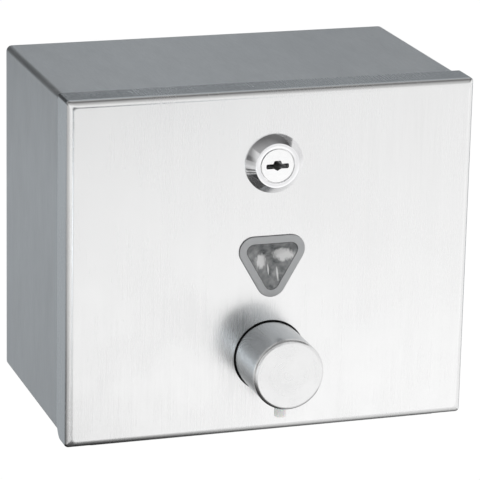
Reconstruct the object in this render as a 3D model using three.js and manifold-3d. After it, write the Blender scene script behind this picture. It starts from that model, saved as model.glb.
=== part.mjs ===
// A wall-mounted liquid soap dispenser: a sheet-metal cabinet, a front panel that tilts forward
// on a bottom hinge, and on that panel a push valve, a sight window, a cam lock and the tank.
// Sizes are in millimetres. +X is to the right seen from the front, +Y points at the wall and +Z up.
// The origin is the centre of the cabinet's back, in the plane of the wall.

import * as THREE from 'three';
import { mergeVertices } from 'three/addons/utils/BufferGeometryUtils.js';
import Module from 'manifold-3d';

const wasm = await Module();
wasm.setup();

// Whole dispenser
const panelWidth = 184;
const panelHeight = 155;
const overallDepth = 113;

// Places and sizes that go with a larger one: on the panel with its height, the straps' with the
// tank's width and the filler's with the tank's depth
const lockDropShare = 0.20839;
const windowDropShare = 0.41806;
const windowSideShare = 0.10774;
const knobRiseShare = 0.2271;
const strapSpreadShare = 0.58442;
const mouthDepthShare = 0.41924;
const mouthSetbackShare = 0.51788;

// Clearances and overruns that every piece shares
const fitGap = 0.3;
const runningGap = 0.4;
const cutOverrun = 2;
const weldSink = 0.3;

// Front panel: a shallow tray with bent flanges
const panelSheet = 0.8;
const panelDepth = 16;
const panelBend = 3.3;
const panelCorner = 1.6;

// Cabinet: a box that is open at the front, its edges turned in
const cabinetSheet = 0.8;
const cabinetCorner = 2.5;
const cabinetBackBend = 1.6;
const flangeLap = 6;
const topLip = 9;
const sideLip = 10;

// Holes in the cabinet's back for four wall screws, the upper two as keyholes
const wallHoleRadius = 3.2;
const keyholeHeadRadius = 5.5;
const keyholeDrop = 9;
const wallHolesAcross = 120;
const wallHolesTopDrop = 30;
const wallHolesBottomRise = 26;

// Strike that the lock's cam catches behind
const strikeWidth = 44;
const strikeThickness = 1.2;
const strikeMargin = 0.5;

// Rubber bumpers on the cabinet's side lips
const bumperRadius = 3.5;
const bumperStemRadius = 1.9;
const bumperTailLength = 2;
const bumperInset = 20;

// Piano hinge under the cabinet
const knuckleRadius = 1.9;
const hingePinRadius = 0.8;
const hingePinHead = 1;
const hingeSetback = 2.2;
const leafThickness = 0.8;
const leafReach = 14;
const hingeEndMargin = 12;
const knuckleCount = 9;

// Cam lock
const bezelRadius = 13.2;
const bezelRingRadius = 9.85;
const bezelHeight = 4.8;
const bezelRim = 0.5;
const plugRadius = 8.4;
const lockBarrelRadius = 9.5;
const lockWasherThickness = 1;
const lockWasherRadius = 12.6;
const lockNutAcross = 24;
const lockNutThickness = 4;
const camThickness = 1.6;
const camWidth = 13;
const camCeilingGap = 4.3;
const camClearance = 0.4;
const camToBarrel = 0.6;
const tailWidth = 7;
const camWasherThickness = 0.8;
const camWasherRadius = 6;
const camScrewHead = 2.2;
const camScrewHeadRadius = 3.6;
const camScrewRadius = 1.6;
const camScrewLength = 6;
const keywayWidth = 10.2;
const keywayHeight = 1.8;
const keywayLobeWidth = 6.2;
const keywayLobeHeight = 3.2;
const keywayDepth = 11;

// Sight window: a clear three-cornered moulding
const windowRimRadius = 6.7;
const windowRecessRadius = 3.3;
const windowShankRadius = 4.9;
const windowRimHeight = 0.9;
const windowShankDepth = 6;
const windowRecessFloor = 1.3;
const windowPointRadius = 0.4;
const windowPointSide = 1.2;
const windowGasketThickness = 1;
const windowRetainerThickness = 1;
const windowRetainerRadius = 8;

// Push knob and what it slides in
const knobRadius = 15.7;
const knobProjection = 27.6;
const knobWall = 1.4;
const knobFace = 2;
const knobChamfer = 0.7;
const knobTravel = 10;
const knobSkirtReach = 2.5;
const travelMargin = 0.5;
const collarSleeve = 0.6;
const collarProud = 0.3;
const collarFlange = 1.5;
const collarWidth = 38;
const collarCorner = 5;
const valveFlange = 2;
const valveWall = 1.6;
const valveRunningGap = 0.5;
const barrelRadius = 9.5;
const barrelBore = 7.8;
const barrelLength = 37.2;
const stemSealThickness = 1.5;
const stemSealRadius = 6.5;
const tankGasketThickness = 1.5;
const tankGasketRadius = 15;
const barrelNutThickness = 4;
const barrelNutAcross = 26;

// Weld studs on the back of the panel and their nuts
const studRadius = 1.5;
const studNutAcross = 5.5;
const studNutThickness = 2.4;
const studTip = 1;
const valveStudOffset = 14.85;

// Plunger: stem, piston, nozzle and return spring
const stemRadius = 3.5;
const stemBore = 2.2;
const stemHeadRadius = 11;
const stemHeadThickness = 2;
const stemBossRadius = 5.5;
const stemBossBack = 11;
const nozzleForward = 16.4;
const nozzleRadius = 2.6;
const nozzleBore = 1.4;
const nozzleDrop = 6.5;
const nozzleSocketTop = 2.6;
const pistonLength = 6.5;
const pistonRadius = 7.3;
const pistonFloor = 1.4;
const sealGroove = 2;
const sealGrooveDepth = 1.4;
const outletFlange = 0.9;
const outletFlangeRadius = 3;
const outletNose = 4.5;
const outletNoseRadius = 1.5;
const outletBore = 0.6;
const springRadius = 6;
const springWire = 0.55;
const springTurns = 7;

// Inlet of the pump inside the tank
const elbowPlugLength = 5.7;
const elbowFlange = 2;
const elbowBore = 3;
const elbowNeckRadius = 6;
const elbowNeckLength = 8;
const elbowRadius = 7;
const elbowTop = 7.5;
const elbowBottom = 12.1;
const chamberRadius = 4.3;
const chamberTop = 4;
const seatRadius = 4.7;
const seatHeight = 6.1;
const seatBore = 2.2;
const ballRadius = 3;
const ballLift = 1.5;
const seatLip = 0.6;
const intakeRadius = 4;
const intakeBore = 2.4;
const intakeFloorGap = 1.3;
const intakeNotch = 2;

// Tank and its filler
const tankWall = 2.2;
const tankRise = 9.5;
const tankLockGap = 25.7;
const tankSideGap = 3;
const tankCorner = 8;
const tankEdge = 4;
const mouthWidth = 56;
const mouthCorner = 6;
const neckWall = 2;
const neckHeight = 5;
const lidThickness = 2.5;
const lidOverhang = 2;
const lidGasketThickness = 1;
const lidTabWidth = 20;
const lidTabReach = 3;
const lidKnuckleRadius = 2.6;
const lidPinRadius = 1.3;
const lidPinOverhang = 1;
const lidAxisSetback = 4.3;
const lidEdgeGap = 3.3;
const lidKnuckleWidth = 27.4;
const earWidth = 4;
const earRadius = 3;

// Two straps that carry the tank and end as the tilt stops
const strapThickness = 1.2;
const strapWidth = 22;
const strapBend = 2;
const strapBackGap = 12.6;
const strapFootHeight = 21;
const strapStudRises = [7, 16];
const stopOverlap = 4;

// Number of straight steps in a round shape
const cornerSteps = 5;
const bendSteps = 4;
const roundSteps = 32;
const smallSteps = 12;
const curlSteps = 8;
const wireSides = 5;

// Places that follow from the sizes above
const frontY = -overallDepth;
const panelBackY = frontY + panelSheet;
const flangeEndY = frontY + panelDepth;
const cabinetFrontY = flangeEndY - flangeLap;
const cabinetWidth = panelWidth - 2 * (panelSheet + runningGap);
const cabinetHeight = panelHeight - 2 * (panelSheet + runningGap);
const ceilingZ = cabinetHeight / 2 - cabinetSheet;
const lipBackY = cabinetFrontY + cabinetSheet;
const lipBottomZ = ceilingZ - topLip;
const hingeY = flangeEndY + hingeSetback;
const hingeZ = -panelHeight / 2 - knuckleRadius;
const hingeLength = panelWidth - 2 * hingeEndMargin;
const lockZ = panelHeight / 2 - panelHeight * lockDropShare;
const knobZ = -panelHeight / 2 + panelHeight * knobRiseShare;
const windowSide = panelHeight * windowSideShare;
const windowHeight = windowSide * Math.sqrt(3) / 2;
const windowTopZ = panelHeight / 2 - panelHeight * windowDropShare;
const windowZ = windowTopZ - windowRimRadius - windowHeight / 3;
const valveWallFront = panelSheet + knobSkirtReach + knobTravel + travelMargin;
const valveWallBack = valveWallFront + valveFlange;
const barrelEnd = valveWallBack + barrelLength;
const tankFrontY = frontY + valveWallBack + tankGasketThickness;
const tankBottomZ = -panelHeight / 2 + tankRise;
const tankTopZ = lockZ - tankLockGap;
const tankWidth = cabinetWidth - 2 * (cabinetSheet + sideLip + tankSideGap);
const strapFrontY = -cabinetSheet - strapBackGap - strapThickness;
const strapSpread = tankWidth * strapSpreadShare;
const tankDepth = strapFrontY - tankFrontY;
const mouthDepth = tankDepth * mouthDepthShare;
const collarOuter = knobRadius + fitGap + collarSleeve;

// The strap's upper front corner comes up behind the cabinet's top lip when the panel is tilted
const stopReach = Math.hypot(lipBackY + fitGap - hingeY, lipBottomZ + stopOverlap - hingeZ);
const stopAngle = Math.atan2(lipBackY + fitGap - hingeY, lipBottomZ + stopOverlap - hingeZ);
const tiltLimit = Math.asin((strapFrontY - hingeY) / stopReach) - stopAngle;
const strapTopZ = hingeZ + Math.sqrt(stopReach ** 2 - (strapFrontY - hingeY) ** 2);
console.log('tilt stops at', THREE.MathUtils.radToDeg(tiltLimit).toFixed(2), 'degrees');

// Finishes
const finish = (color, roughness, metalness) => ({ color, roughness, metalness });
const brushedSteel = finish(0xc9ccce, 0.34, 1);
const bodySteel = finish(0x9a9fa3, 0.42, 1);
const chrome = finish(0xdcdee0, 0.12, 1);
const zincPlate = finish(0xb5b8b6, 0.4, 0.9);
const blackPlastic = finish(0x1b1c1e, 0.5, 0);
const whitePlastic = finish(0xe9e9e4, 0.4, 0);
const tankPlastic = finish(0xdfe3e0, 0.5, 0);
const clearPlastic = finish(0xb9bfc2, 0.12, 0);
const rubber = finish(0x262627, 0.8, 0);

// Closed geometry to solid, with its faces turned outwards
function toSolid(geometry) {
  const bare = geometry.clone();
  bare.deleteAttribute('normal');
  bare.deleteAttribute('uv');
  const merged = mergeVertices(bare);
  const places = merged.attributes.position.array;
  const corner = (i) => new THREE.Vector3().fromArray(places, 3 * i);
  const faces = [];
  let volume = 0;
  for (let i = 0; i < merged.index.count; i += 3) {
    const [a, b, c] = [0, 1, 2].map((k) => merged.index.getX(i + k));
    if (a === b || b === c || c === a) continue;
    faces.push([a, b, c]);
    volume += corner(a).dot(corner(b).cross(corner(c)));
  }
  const turned = volume < 0 ? faces.map(([a, b, c]) => [a, c, b]) : faces;
  return new wasm.Manifold(new wasm.Mesh({
    numProp: 3,
    vertProperties: new Float32Array(places),
    triVerts: new Uint32Array(turned.flat()),
  }));
}

function toGeometry(solid) {
  const mesh = solid.getMesh();
  const geometry = new THREE.BufferGeometry();
  geometry.setAttribute('position', new THREE.BufferAttribute(new Float32Array(mesh.vertProperties), 3));
  geometry.setIndex(new THREE.BufferAttribute(new Uint32Array(mesh.triVerts), 1));
  geometry.computeVertexNormals();
  return geometry;
}

function join(...solids) {
  return solids.reduce((whole, next) => whole.add(next));
}

function cut(solid, ...tools) {
  return tools.reduce((rest, tool) => rest.subtract(tool), solid);
}

// Outlines
function roundedRectangle(width, height, radius) {
  const points = [];
  for (const [sx, sy, start] of [[1, 1, 0], [-1, 1, 1], [-1, -1, 2], [1, -1, 3]]) {
    for (let i = 0; i <= cornerSteps; i++) {
      const angle = (start + i / cornerSteps) * Math.PI / 2;
      points.push(new THREE.Vector2(
        sx * (width / 2 - radius) + radius * Math.cos(angle),
        sy * (height / 2 - radius) + radius * Math.sin(angle),
      ));
    }
  }
  return points;
}

// A triangle with one corner down and round corners, about its centre
function roundedTriangle(side, radius) {
  const points = [];
  const reach = side / Math.sqrt(3);
  for (const middle of [1 / 6, 5 / 6, 3 / 2]) {
    const centre = new THREE.Vector2(Math.cos(middle * Math.PI), Math.sin(middle * Math.PI));
    for (let i = 0; i <= cornerSteps; i++) {
      const angle = (middle - 1 / 3 + 2 / 3 * i / cornerSteps) * Math.PI;
      points.push(new THREE.Vector2(
        reach * centre.x + radius * Math.cos(angle),
        reach * centre.y + radius * Math.sin(angle),
      ));
    }
  }
  return points;
}

function circle(radius, steps, x = 0, y = 0) {
  const angles = Array.from({ length: steps }, (_, i) => 2 * Math.PI * i / steps);
  return angles.map((angle) => new THREE.Vector2(x + radius * Math.cos(angle), y + radius * Math.sin(angle)));
}

function hexagon(across) {
  return circle(across / Math.sqrt(3), 6);
}

// An outline drawn in X and Z, from one Y to another
function plateY(points, y0, y1) {
  const geometry = new THREE.ExtrudeGeometry(new THREE.Shape(points), { depth: y1 - y0, bevelEnabled: false });
  return toSolid(geometry.rotateX(Math.PI / 2).translate(0, y1, 0));
}

// An outline drawn in X and Y, from one Z to another
function plateZ(points, z0, z1) {
  const geometry = new THREE.ExtrudeGeometry(new THREE.Shape(points), { depth: z1 - z0, bevelEnabled: false });
  return toSolid(geometry.translate(0, 0, z0));
}

// An outline drawn in Y and Z, from one X to another
function plateX(points, x0, x1) {
  const geometry = new THREE.ExtrudeGeometry(new THREE.Shape(points), { depth: x1 - x0, bevelEnabled: false });
  const turn = new THREE.Matrix4().makeBasis(
    new THREE.Vector3(0, 1, 0), new THREE.Vector3(0, 0, 1), new THREE.Vector3(1, 0, 0),
  );
  return toSolid(geometry.applyMatrix4(turn).translate(x0, 0, 0));
}

function block([x0, x1], [y0, y1], [z0, z1]) {
  const geometry = new THREE.BoxGeometry(x1 - x0, y1 - y0, z1 - z0);
  return toSolid(geometry.translate((x0 + x1) / 2, (y0 + y1) / 2, (z0 + z1) / 2));
}

function rodX(radius, x0, x1, y, z, steps = smallSteps) {
  const geometry = new THREE.CylinderGeometry(radius, radius, x1 - x0, steps);
  return toSolid(geometry.rotateZ(Math.PI / 2).translate((x0 + x1) / 2, y, z));
}

function rodY(radius, y0, y1, x, z, steps = smallSteps) {
  const geometry = new THREE.CylinderGeometry(radius, radius, y1 - y0, steps);
  return toSolid(geometry.translate(x, (y0 + y1) / 2, z));
}

function rodZ(radius, z0, z1, x, y, steps = smallSteps) {
  const geometry = new THREE.CylinderGeometry(radius, radius, z1 - z0, steps);
  return toSolid(geometry.rotateX(Math.PI / 2).translate(x, y, (z0 + z1) / 2));
}

// A profile of [radius, place along the axis] turned about the Y axis
function turnedY(profile, steps = roundSteps) {
  const onAxis = profile[0][0] === 0 && profile.at(-1)[0] === 0;
  const points = (onAxis ? profile : [...profile, profile[0]]).map(([r, y]) => new THREE.Vector2(r, y));
  return toSolid(new THREE.LatheGeometry(points, steps));
}

function turnedZ(profile, steps = smallSteps) {
  const onAxis = profile[0][0] === 0 && profile.at(-1)[0] === 0;
  const points = (onAxis ? profile : [...profile, profile[0]]).map(([r, z]) => new THREE.Vector2(r, z));
  return toSolid(new THREE.LatheGeometry(points, steps).rotateX(Math.PI / 2));
}

// Rings of the same number of points, joined side by side and closed at both ends
function loft(rings) {
  const count = rings[0].length;
  const places = rings.flat().flatMap((point) => point.toArray());
  const faces = [];
  for (let ring = 0; ring + 1 < rings.length; ring++) {
    for (let i = 0; i < count; i++) {
      const [a, b] = [ring * count + i, ring * count + (i + 1) % count];
      faces.push(a, b, b + count, a, b + count, a + count);
    }
  }
  const last = (rings.length - 1) * count;
  for (let i = 1; i + 1 < count; i++) {
    faces.push(0, i + 1, i);
    faces.push(last, last + i, last + i + 1);
  }
  const geometry = new THREE.BufferGeometry();
  geometry.setAttribute('position', new THREE.Float32BufferAttribute(places, 3));
  geometry.setIndex(faces);
  return toSolid(geometry);
}

// How far a round edge is drawn in, and how far along it is, at each of its steps
function bendRings(radius) {
  return Array.from({ length: bendSteps + 1 }, (_, i) => {
    const angle = i / bendSteps * Math.PI / 2;
    return [radius * (1 - Math.sin(angle)), radius * (1 - Math.cos(angle))];
  });
}

// A box with equally round corners at every depth along Y and a round edge at its lower Y end
function trayY(width, height, corner, bend, y0, y1) {
  const ring = (inset, y) => roundedRectangle(width - 2 * inset, height - 2 * inset, corner)
    .map((point) => new THREE.Vector3(point.x, y, point.y));
  return loft([...bendRings(bend).map(([inset, along]) => ring(inset, y0 + along)), ring(0, y1)]);
}

// A box with round corners seen along Z and round edges at both ends
function bottleZ([x0, x1], [y0, y1], [z0, z1], corner, edge) {
  const ring = (inset, z) => roundedRectangle(x1 - x0 - 2 * inset, y1 - y0 - 2 * inset, corner - inset)
    .map((point) => new THREE.Vector3((x0 + x1) / 2 + point.x, (y0 + y1) / 2 + point.y, z));
  const bends = bendRings(edge);
  const low = bends.map(([inset, along]) => ring(inset, z0 + along));
  const high = bends.map(([inset, along]) => ring(inset, z1 - along)).reverse();
  return loft([...low, ...high]);
}

// One named mesh of one solid, with its own material
function piece(name, solid, look) {
  const mesh = new THREE.Mesh(toGeometry(solid), new THREE.MeshStandardMaterial(look));
  mesh.name = name;
  return mesh;
}

function groupAt(x, y, z, ...children) {
  const group = new THREE.Group();
  group.position.set(x, y, z);
  group.add(...children);
  return group;
}

function placed(mesh, x, y, z) {
  mesh.position.set(x, y, z);
  return mesh;
}

function hexNut(name, across, thickness, bore, look, steps = smallSteps) {
  const nut = cut(
    plateY(hexagon(across), 0, thickness),
    rodY(bore, -cutOverrun, thickness + cutOverrun, 0, 0, steps),
  );
  return piece(name, nut, look);
}

// Cabinet body with its lips and wall holes
function cabinetShell() {
  const outer = trayY(cabinetWidth, cabinetHeight, cabinetCorner, cabinetBackBend, 0, -cabinetFrontY);
  const innerCorner = cabinetCorner - cabinetSheet;
  const innerBend = cabinetBackBend - cabinetSheet;
  const inner = trayY(
    cabinetWidth - 2 * cabinetSheet, cabinetHeight - 2 * cabinetSheet, innerCorner, innerBend,
    cabinetSheet, -lipBackY,
  );
  const doorway = block(
    [sideLip + cabinetSheet - cabinetWidth / 2, cabinetWidth / 2 - cabinetSheet - sideLip],
    [-lipBackY - cutOverrun, -cabinetFrontY + cutOverrun],
    [-lipBottomZ, ceilingZ],
  );
  // The tray is drawn from the wall outwards, so it is turned about Z to face the front
  const shell = cut(outer, inner, doorway).rotate([180, 0, 0]);
  const holes = [];
  for (const side of [-1, 1]) {
    const x = side * wallHolesAcross / 2;
    const high = cabinetHeight / 2 - wallHolesTopDrop;
    const low = -cabinetHeight / 2 + wallHolesBottomRise;
    const span = [-cabinetSheet - cutOverrun, cutOverrun];
    holes.push(rodY(wallHoleRadius, ...span, x, low));
    holes.push(rodY(keyholeHeadRadius, ...span, x, high - keyholeDrop));
    holes.push(rodY(wallHoleRadius, ...span, x, high));
    holes.push(block([x - wallHoleRadius, x + wallHoleRadius], span, [high - keyholeDrop, high]));
  }
  const bumperHoles = bumperPlaces().map(([x, z]) => (
    rodY(bumperStemRadius + fitGap, cabinetFrontY - cutOverrun, lipBackY + cutOverrun, x, z)
  ));
  return piece('cabinet_shell', cut(shell, ...holes, ...bumperHoles), bodySteel);
}

function bumperPlaces() {
  const x = cabinetWidth / 2 - cabinetSheet - sideLip / 2;
  const z = cabinetHeight / 2 - bumperInset;
  return [[-x, z], [x, z], [-x, -z], [x, -z]];
}

function bumpers() {
  const headLength = cabinetFrontY - panelBackY - fitGap;
  return bumperPlaces().map(([x, z], i) => {
    const tail = cabinetSheet + fitGap;
    const body = turnedY([
      [0, -headLength], [bumperRadius, -headLength], [bumperRadius, 0], [bumperStemRadius, 0],
      [bumperStemRadius, tail], [bumperRadius, tail], [bumperStemRadius, tail + bumperTailLength],
      [0, tail + bumperTailLength],
    ], smallSteps);
    return placed(piece(`bumper_${i + 1}`, body, rubber), x, cabinetFrontY, z);
  });
}

function lockStrike() {
  const plate = block(
    [-strikeWidth / 2, strikeWidth / 2],
    [lipBackY, lipBackY + strikeThickness],
    [lipBottomZ + strikeMargin, ceilingZ - strikeMargin],
  );
  return piece('lock_strike', plate, zincPlate);
}

// One leaf of the hinge: side 1 goes back under the cabinet, side -1 forward under the panel
function hingeLeaf(name, side) {
  const top = -panelHeight / 2;
  const bottom = top - leafThickness;
  const half = hingeLength / 2;
  const pitch = hingeLength / knuckleCount;
  const near = hingeY + side * (knuckleRadius + fitGap);
  const far = hingeY + side * leafReach;
  const solids = [block([-half, half], [Math.min(near, far), Math.max(near, far)], [bottom, top])];
  for (let i = side > 0 ? 0 : 1; i < knuckleCount; i += 2) {
    const x0 = -half + i * pitch + (i === 0 ? 0 : fitGap / 2);
    const x1 = -half + (i + 1) * pitch - (i === knuckleCount - 1 ? 0 : fitGap / 2);
    const ys = [hingeY, near + side * weldSink].sort((a, b) => a - b);
    solids.push(rodX(knuckleRadius, x0, x1, hingeY, hingeZ));
    solids.push(block([x0, x1], ys, [bottom, top]));
  }
  const bore = rodX(hingePinRadius + fitGap, -half - cutOverrun, half + cutOverrun, hingeY, hingeZ);
  return piece(name, cut(join(...solids), bore), zincPlate);
}

function hingePin() {
  const end = hingeLength / 2 + fitGap;
  const shank = rodX(hingePinRadius, -end, end, hingeY, hingeZ);
  const headRadius = knuckleRadius - fitGap;
  const heads = [-1, 1].map((side) => {
    const [x0, x1] = [side * end, side * (end + hingePinHead)].sort((a, b) => a - b);
    return rodX(headRadius, x0, x1, hingeY, hingeZ);
  });
  return piece('hinge_pin', join(shank, ...heads), zincPlate);
}

function hingePacker() {
  const strip = block(
    [-hingeLength / 2, hingeLength / 2],
    [hingeY + knuckleRadius + fitGap, hingeY + leafReach],
    [-panelHeight / 2, -cabinetHeight / 2],
  );
  return piece('hinge_packer', strip, zincPlate);
}

// Places of the weld studs on the panel's back, with the thickness that each one clamps
function valveStuds() {
  const clamped = collarFlange + valveFlange;
  return [[1, 1], [-1, 1], [-1, -1], [1, -1]].map(([sx, sz]) => (
    { x: sx * valveStudOffset, z: knobZ + sz * valveStudOffset, clamped }
  ));
}

function strapStuds() {
  return [-1, 1].flatMap((side) => strapStudRises.map((rise) => (
    { x: side * strapSpread / 2, z: tankBottomZ + rise, clamped: strapThickness }
  )));
}

function frontPanel() {
  const tray = trayY(panelWidth, panelHeight, panelCorner, panelBend, frontY, flangeEndY);
  const hollow = trayY(
    panelWidth - 2 * panelSheet, panelHeight - 2 * panelSheet, panelCorner - panelSheet, panelBend - panelSheet,
    panelBackY, flangeEndY + cutOverrun,
  );
  const span = [frontY - cutOverrun, panelBackY + cutOverrun];
  const windowHole = plateY(roundedTriangle(windowSide, windowShankRadius + fitGap), ...span)
    .translate([0, 0, windowZ]);
  const sheet = cut(
    tray, hollow, windowHole,
    rodY(lockBarrelRadius + fitGap, ...span, 0, lockZ, roundSteps),
    rodY(collarOuter + fitGap, ...span, 0, knobZ, roundSteps),
  );
  const studs = [...valveStuds(), ...strapStuds()].map(({ x, z, clamped }) => (
    rodY(studRadius, panelBackY - weldSink, panelBackY + clamped + studNutThickness + studTip, x, z)
  ));
  return piece('front_panel', join(sheet, ...studs), brushedSteel);
}

function studNuts(prefix, studs) {
  return studs.map(({ x, z, clamped }, i) => {
    const nut = hexNut(`${prefix}_${i + 1}`, studNutAcross, studNutThickness, studRadius + fitGap, zincPlate);
    return placed(nut, x, panelBackY + clamped, z);
  });
}

// Lock housing, drawn about the lock's axis with Y zero at the panel's face
function lockHousing(barrelBack) {
  const bore = plugRadius + fitGap;
  const housing = turnedY([
    [bore, -bezelHeight], [bezelRingRadius, -bezelHeight], [bezelRadius, -bezelRim], [bezelRadius, 0],
    [lockBarrelRadius, 0], [lockBarrelRadius, barrelBack], [bore, barrelBack],
  ], roundSteps);
  return piece('lock_housing', housing, chrome);
}

function lockWasher() {
  const bore = lockBarrelRadius + fitGap;
  const washer = turnedY([
    [bore, panelSheet], [lockWasherRadius, panelSheet],
    [lockWasherRadius, panelSheet + lockWasherThickness], [bore, panelSheet + lockWasherThickness],
  ], roundSteps);
  return piece('lock_washer', washer, zincPlate);
}

// The keyway: a flat slot with a wider, round-topped middle
function keyway() {
  const span = [-bezelHeight - cutOverrun, -bezelHeight + keywayDepth];
  const slot = plateY(roundedRectangle(keywayWidth, keywayHeight, keywayHeight / 3), ...span);
  const lobe = plateY(roundedRectangle(keywayLobeWidth, keywayLobeHeight, keywayLobeHeight / 3), ...span)
    .translate([0, 0, (keywayLobeHeight - keywayHeight) / 2]);
  return join(slot, lobe);
}

function lockPlug(barrelBack, camFront) {
  const camBack = camFront + camThickness;
  const tail = block([-tailWidth / 2, tailWidth / 2], [barrelBack - weldSink, camBack], [-tailWidth / 2, tailWidth / 2]);
  const body = join(rodY(plugRadius, -bezelHeight, barrelBack, 0, 0, roundSteps), tail);
  const tapped = rodY(camScrewRadius + fitGap, camBack - camScrewLength - fitGap, camBack + cutOverrun, 0, 0);
  return piece('lock_plug', cut(body, keyway(), tapped), chrome);
}

function lockCam(camFront) {
  const reach = ceilingZ - camCeilingGap - lockZ;
  const half = camWidth / 2;
  const outline = new THREE.Shape();
  outline.absarc(0, 0, half, Math.PI / 2, 3 * Math.PI / 2, false);
  outline.lineTo(reach, -half);
  outline.lineTo(reach, half);
  const arm = plateY(outline.getPoints(cornerSteps), camFront, camFront + camThickness);
  const hole = tailWidth / 2 + fitGap;
  const span = [camFront - cutOverrun, camFront + camThickness + cutOverrun];
  return piece('lock_cam', cut(arm, block([-hole, hole], span, [-hole, hole])), zincPlate);
}

function camWasher(camBack) {
  const bore = camScrewRadius + fitGap;
  const washer = turnedY([
    [bore, camBack], [camWasherRadius, camBack],
    [camWasherRadius, camBack + camWasherThickness], [bore, camBack + camWasherThickness],
  ], smallSteps);
  return piece('cam_washer', washer, zincPlate);
}

function camScrew(camBack) {
  const seat = camBack + camWasherThickness;
  const screw = turnedY([
    [0, camBack - camScrewLength], [camScrewRadius, camBack - camScrewLength], [camScrewRadius, seat],
    [camScrewHeadRadius, seat], [camScrewHeadRadius, seat + camScrewHead * 2 / 3],
    [camScrewHeadRadius * 2 / 3, seat + camScrewHead], [0, seat + camScrewHead],
  ], smallSteps);
  const slotHalf = camScrewHeadRadius / 6;
  const slot = block(
    [-camScrewHeadRadius, camScrewHeadRadius],
    [seat + camScrewHead / 2, seat + camScrewHead + cutOverrun],
    [-slotHalf, slotHalf],
  );
  return piece('cam_screw', cut(screw, slot), zincPlate);
}

function lockParts() {
  const camFront = lipBackY + strikeThickness + camClearance - frontY;
  const barrelBack = camFront - camToBarrel;
  const camBack = camFront + camThickness;
  const nut = hexNut('lock_nut', lockNutAcross, lockNutThickness, lockBarrelRadius + fitGap, zincPlate, roundSteps);
  const core = groupAt(0, 0, 0, lockPlug(barrelBack, camFront), lockCam(camFront), camWasher(camBack), camScrew(camBack));
  return groupAt(
    0, frontY, lockZ,
    lockHousing(barrelBack), lockWasher(), placed(nut, 0, panelSheet + lockWasherThickness, 0), core,
  );
}

// Sight window, drawn about its centre with Y zero at the panel's face
function triangleRing(side, radius, y) {
  return roundedTriangle(side, radius).map((point) => new THREE.Vector3(point.x, y, point.y));
}

function windowLens() {
  const edge = windowRimHeight / 2;
  const rim = loft([
    triangleRing(windowSide, windowRimRadius - edge, -windowRimHeight),
    triangleRing(windowSide, windowRimRadius, -windowRimHeight + edge),
    triangleRing(windowSide, windowRimRadius, 0),
  ]);
  const shank = plateY(roundedTriangle(windowSide, windowShankRadius), -edge, windowShankDepth);
  const slope = (windowShankDepth - windowRecessFloor) / (windowShankDepth - windowRecessFloor + windowRimHeight);
  const overrunSide = windowSide + (windowSide - windowPointSide) * slope * cutOverrun / windowShankDepth;
  const recess = loft([
    triangleRing(overrunSide, windowRecessRadius, -windowRimHeight - cutOverrun),
    triangleRing(windowSide, windowRecessRadius, -windowRimHeight),
    triangleRing(windowPointSide, windowPointRadius, windowShankDepth - windowRecessFloor),
  ]);
  return piece('window_lens', cut(join(rim, shank), recess), clearPlastic);
}

function windowRing(name, radius, y0, y1, look) {
  const hole = plateY(roundedTriangle(windowSide, windowShankRadius + fitGap), y0 - cutOverrun, y1 + cutOverrun);
  return piece(name, cut(plateY(roundedTriangle(windowSide, radius), y0, y1), hole), look);
}

function windowParts() {
  const gasketBack = panelSheet + windowGasketThickness;
  return groupAt(
    0, frontY, windowZ,
    windowLens(),
    windowRing('window_gasket', windowRimRadius, panelSheet, gasketBack, rubber),
    windowRing('window_retainer', windowRetainerRadius, gasketBack, gasketBack + windowRetainerThickness, zincPlate),
  );
}

// Fixed pieces of the valve, drawn about the knob's axis with Y zero at the panel's face
function studHoles(y0, y1) {
  return valveStuds().map(({ x, z }) => rodY(studRadius + fitGap, y0 - cutOverrun, y1 + cutOverrun, x, z - knobZ));
}

function knobCollar() {
  const back = panelSheet + collarFlange;
  const bore = knobRadius + fitGap;
  const flange = plateY(roundedRectangle(collarWidth, collarWidth, collarCorner), panelSheet, back);
  const sleeve = rodY(collarOuter, -collarProud, back, 0, 0, roundSteps);
  const hole = rodY(bore, -collarProud - cutOverrun, back + cutOverrun, 0, 0, roundSteps);
  return piece('knob_collar', cut(join(flange, sleeve), hole, ...studHoles(panelSheet, back)), blackPlastic);
}

function valveBody() {
  const front = panelSheet + collarFlange;
  const cupInner = knobRadius + valveRunningGap;
  const cupOuter = cupInner + valveWall;
  const flange = plateY(roundedRectangle(collarWidth, collarWidth, collarCorner), front, front + valveFlange);
  const cup = rodY(cupOuter, front, valveWallBack, 0, 0, roundSteps);
  const barrel = rodY(barrelRadius, valveWallBack - weldSink, barrelEnd, 0, 0, roundSteps);
  const body = cut(
    join(flange, cup, barrel),
    rodY(cupInner, front - cutOverrun, valveWallFront, 0, 0, roundSteps),
    rodY(stemRadius + fitGap, valveWallFront - cutOverrun, valveWallBack + cutOverrun, 0, 0),
    rodY(barrelBore, valveWallBack, barrelEnd + cutOverrun, 0, 0, roundSteps),
    ...studHoles(front, front + valveFlange),
  );
  return piece('valve_body', body, whitePlastic);
}

function ring(name, inner, outer, y0, y1, look) {
  return piece(name, turnedY([[inner, y0], [outer, y0], [outer, y1], [inner, y1]], roundSteps), look);
}

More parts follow.
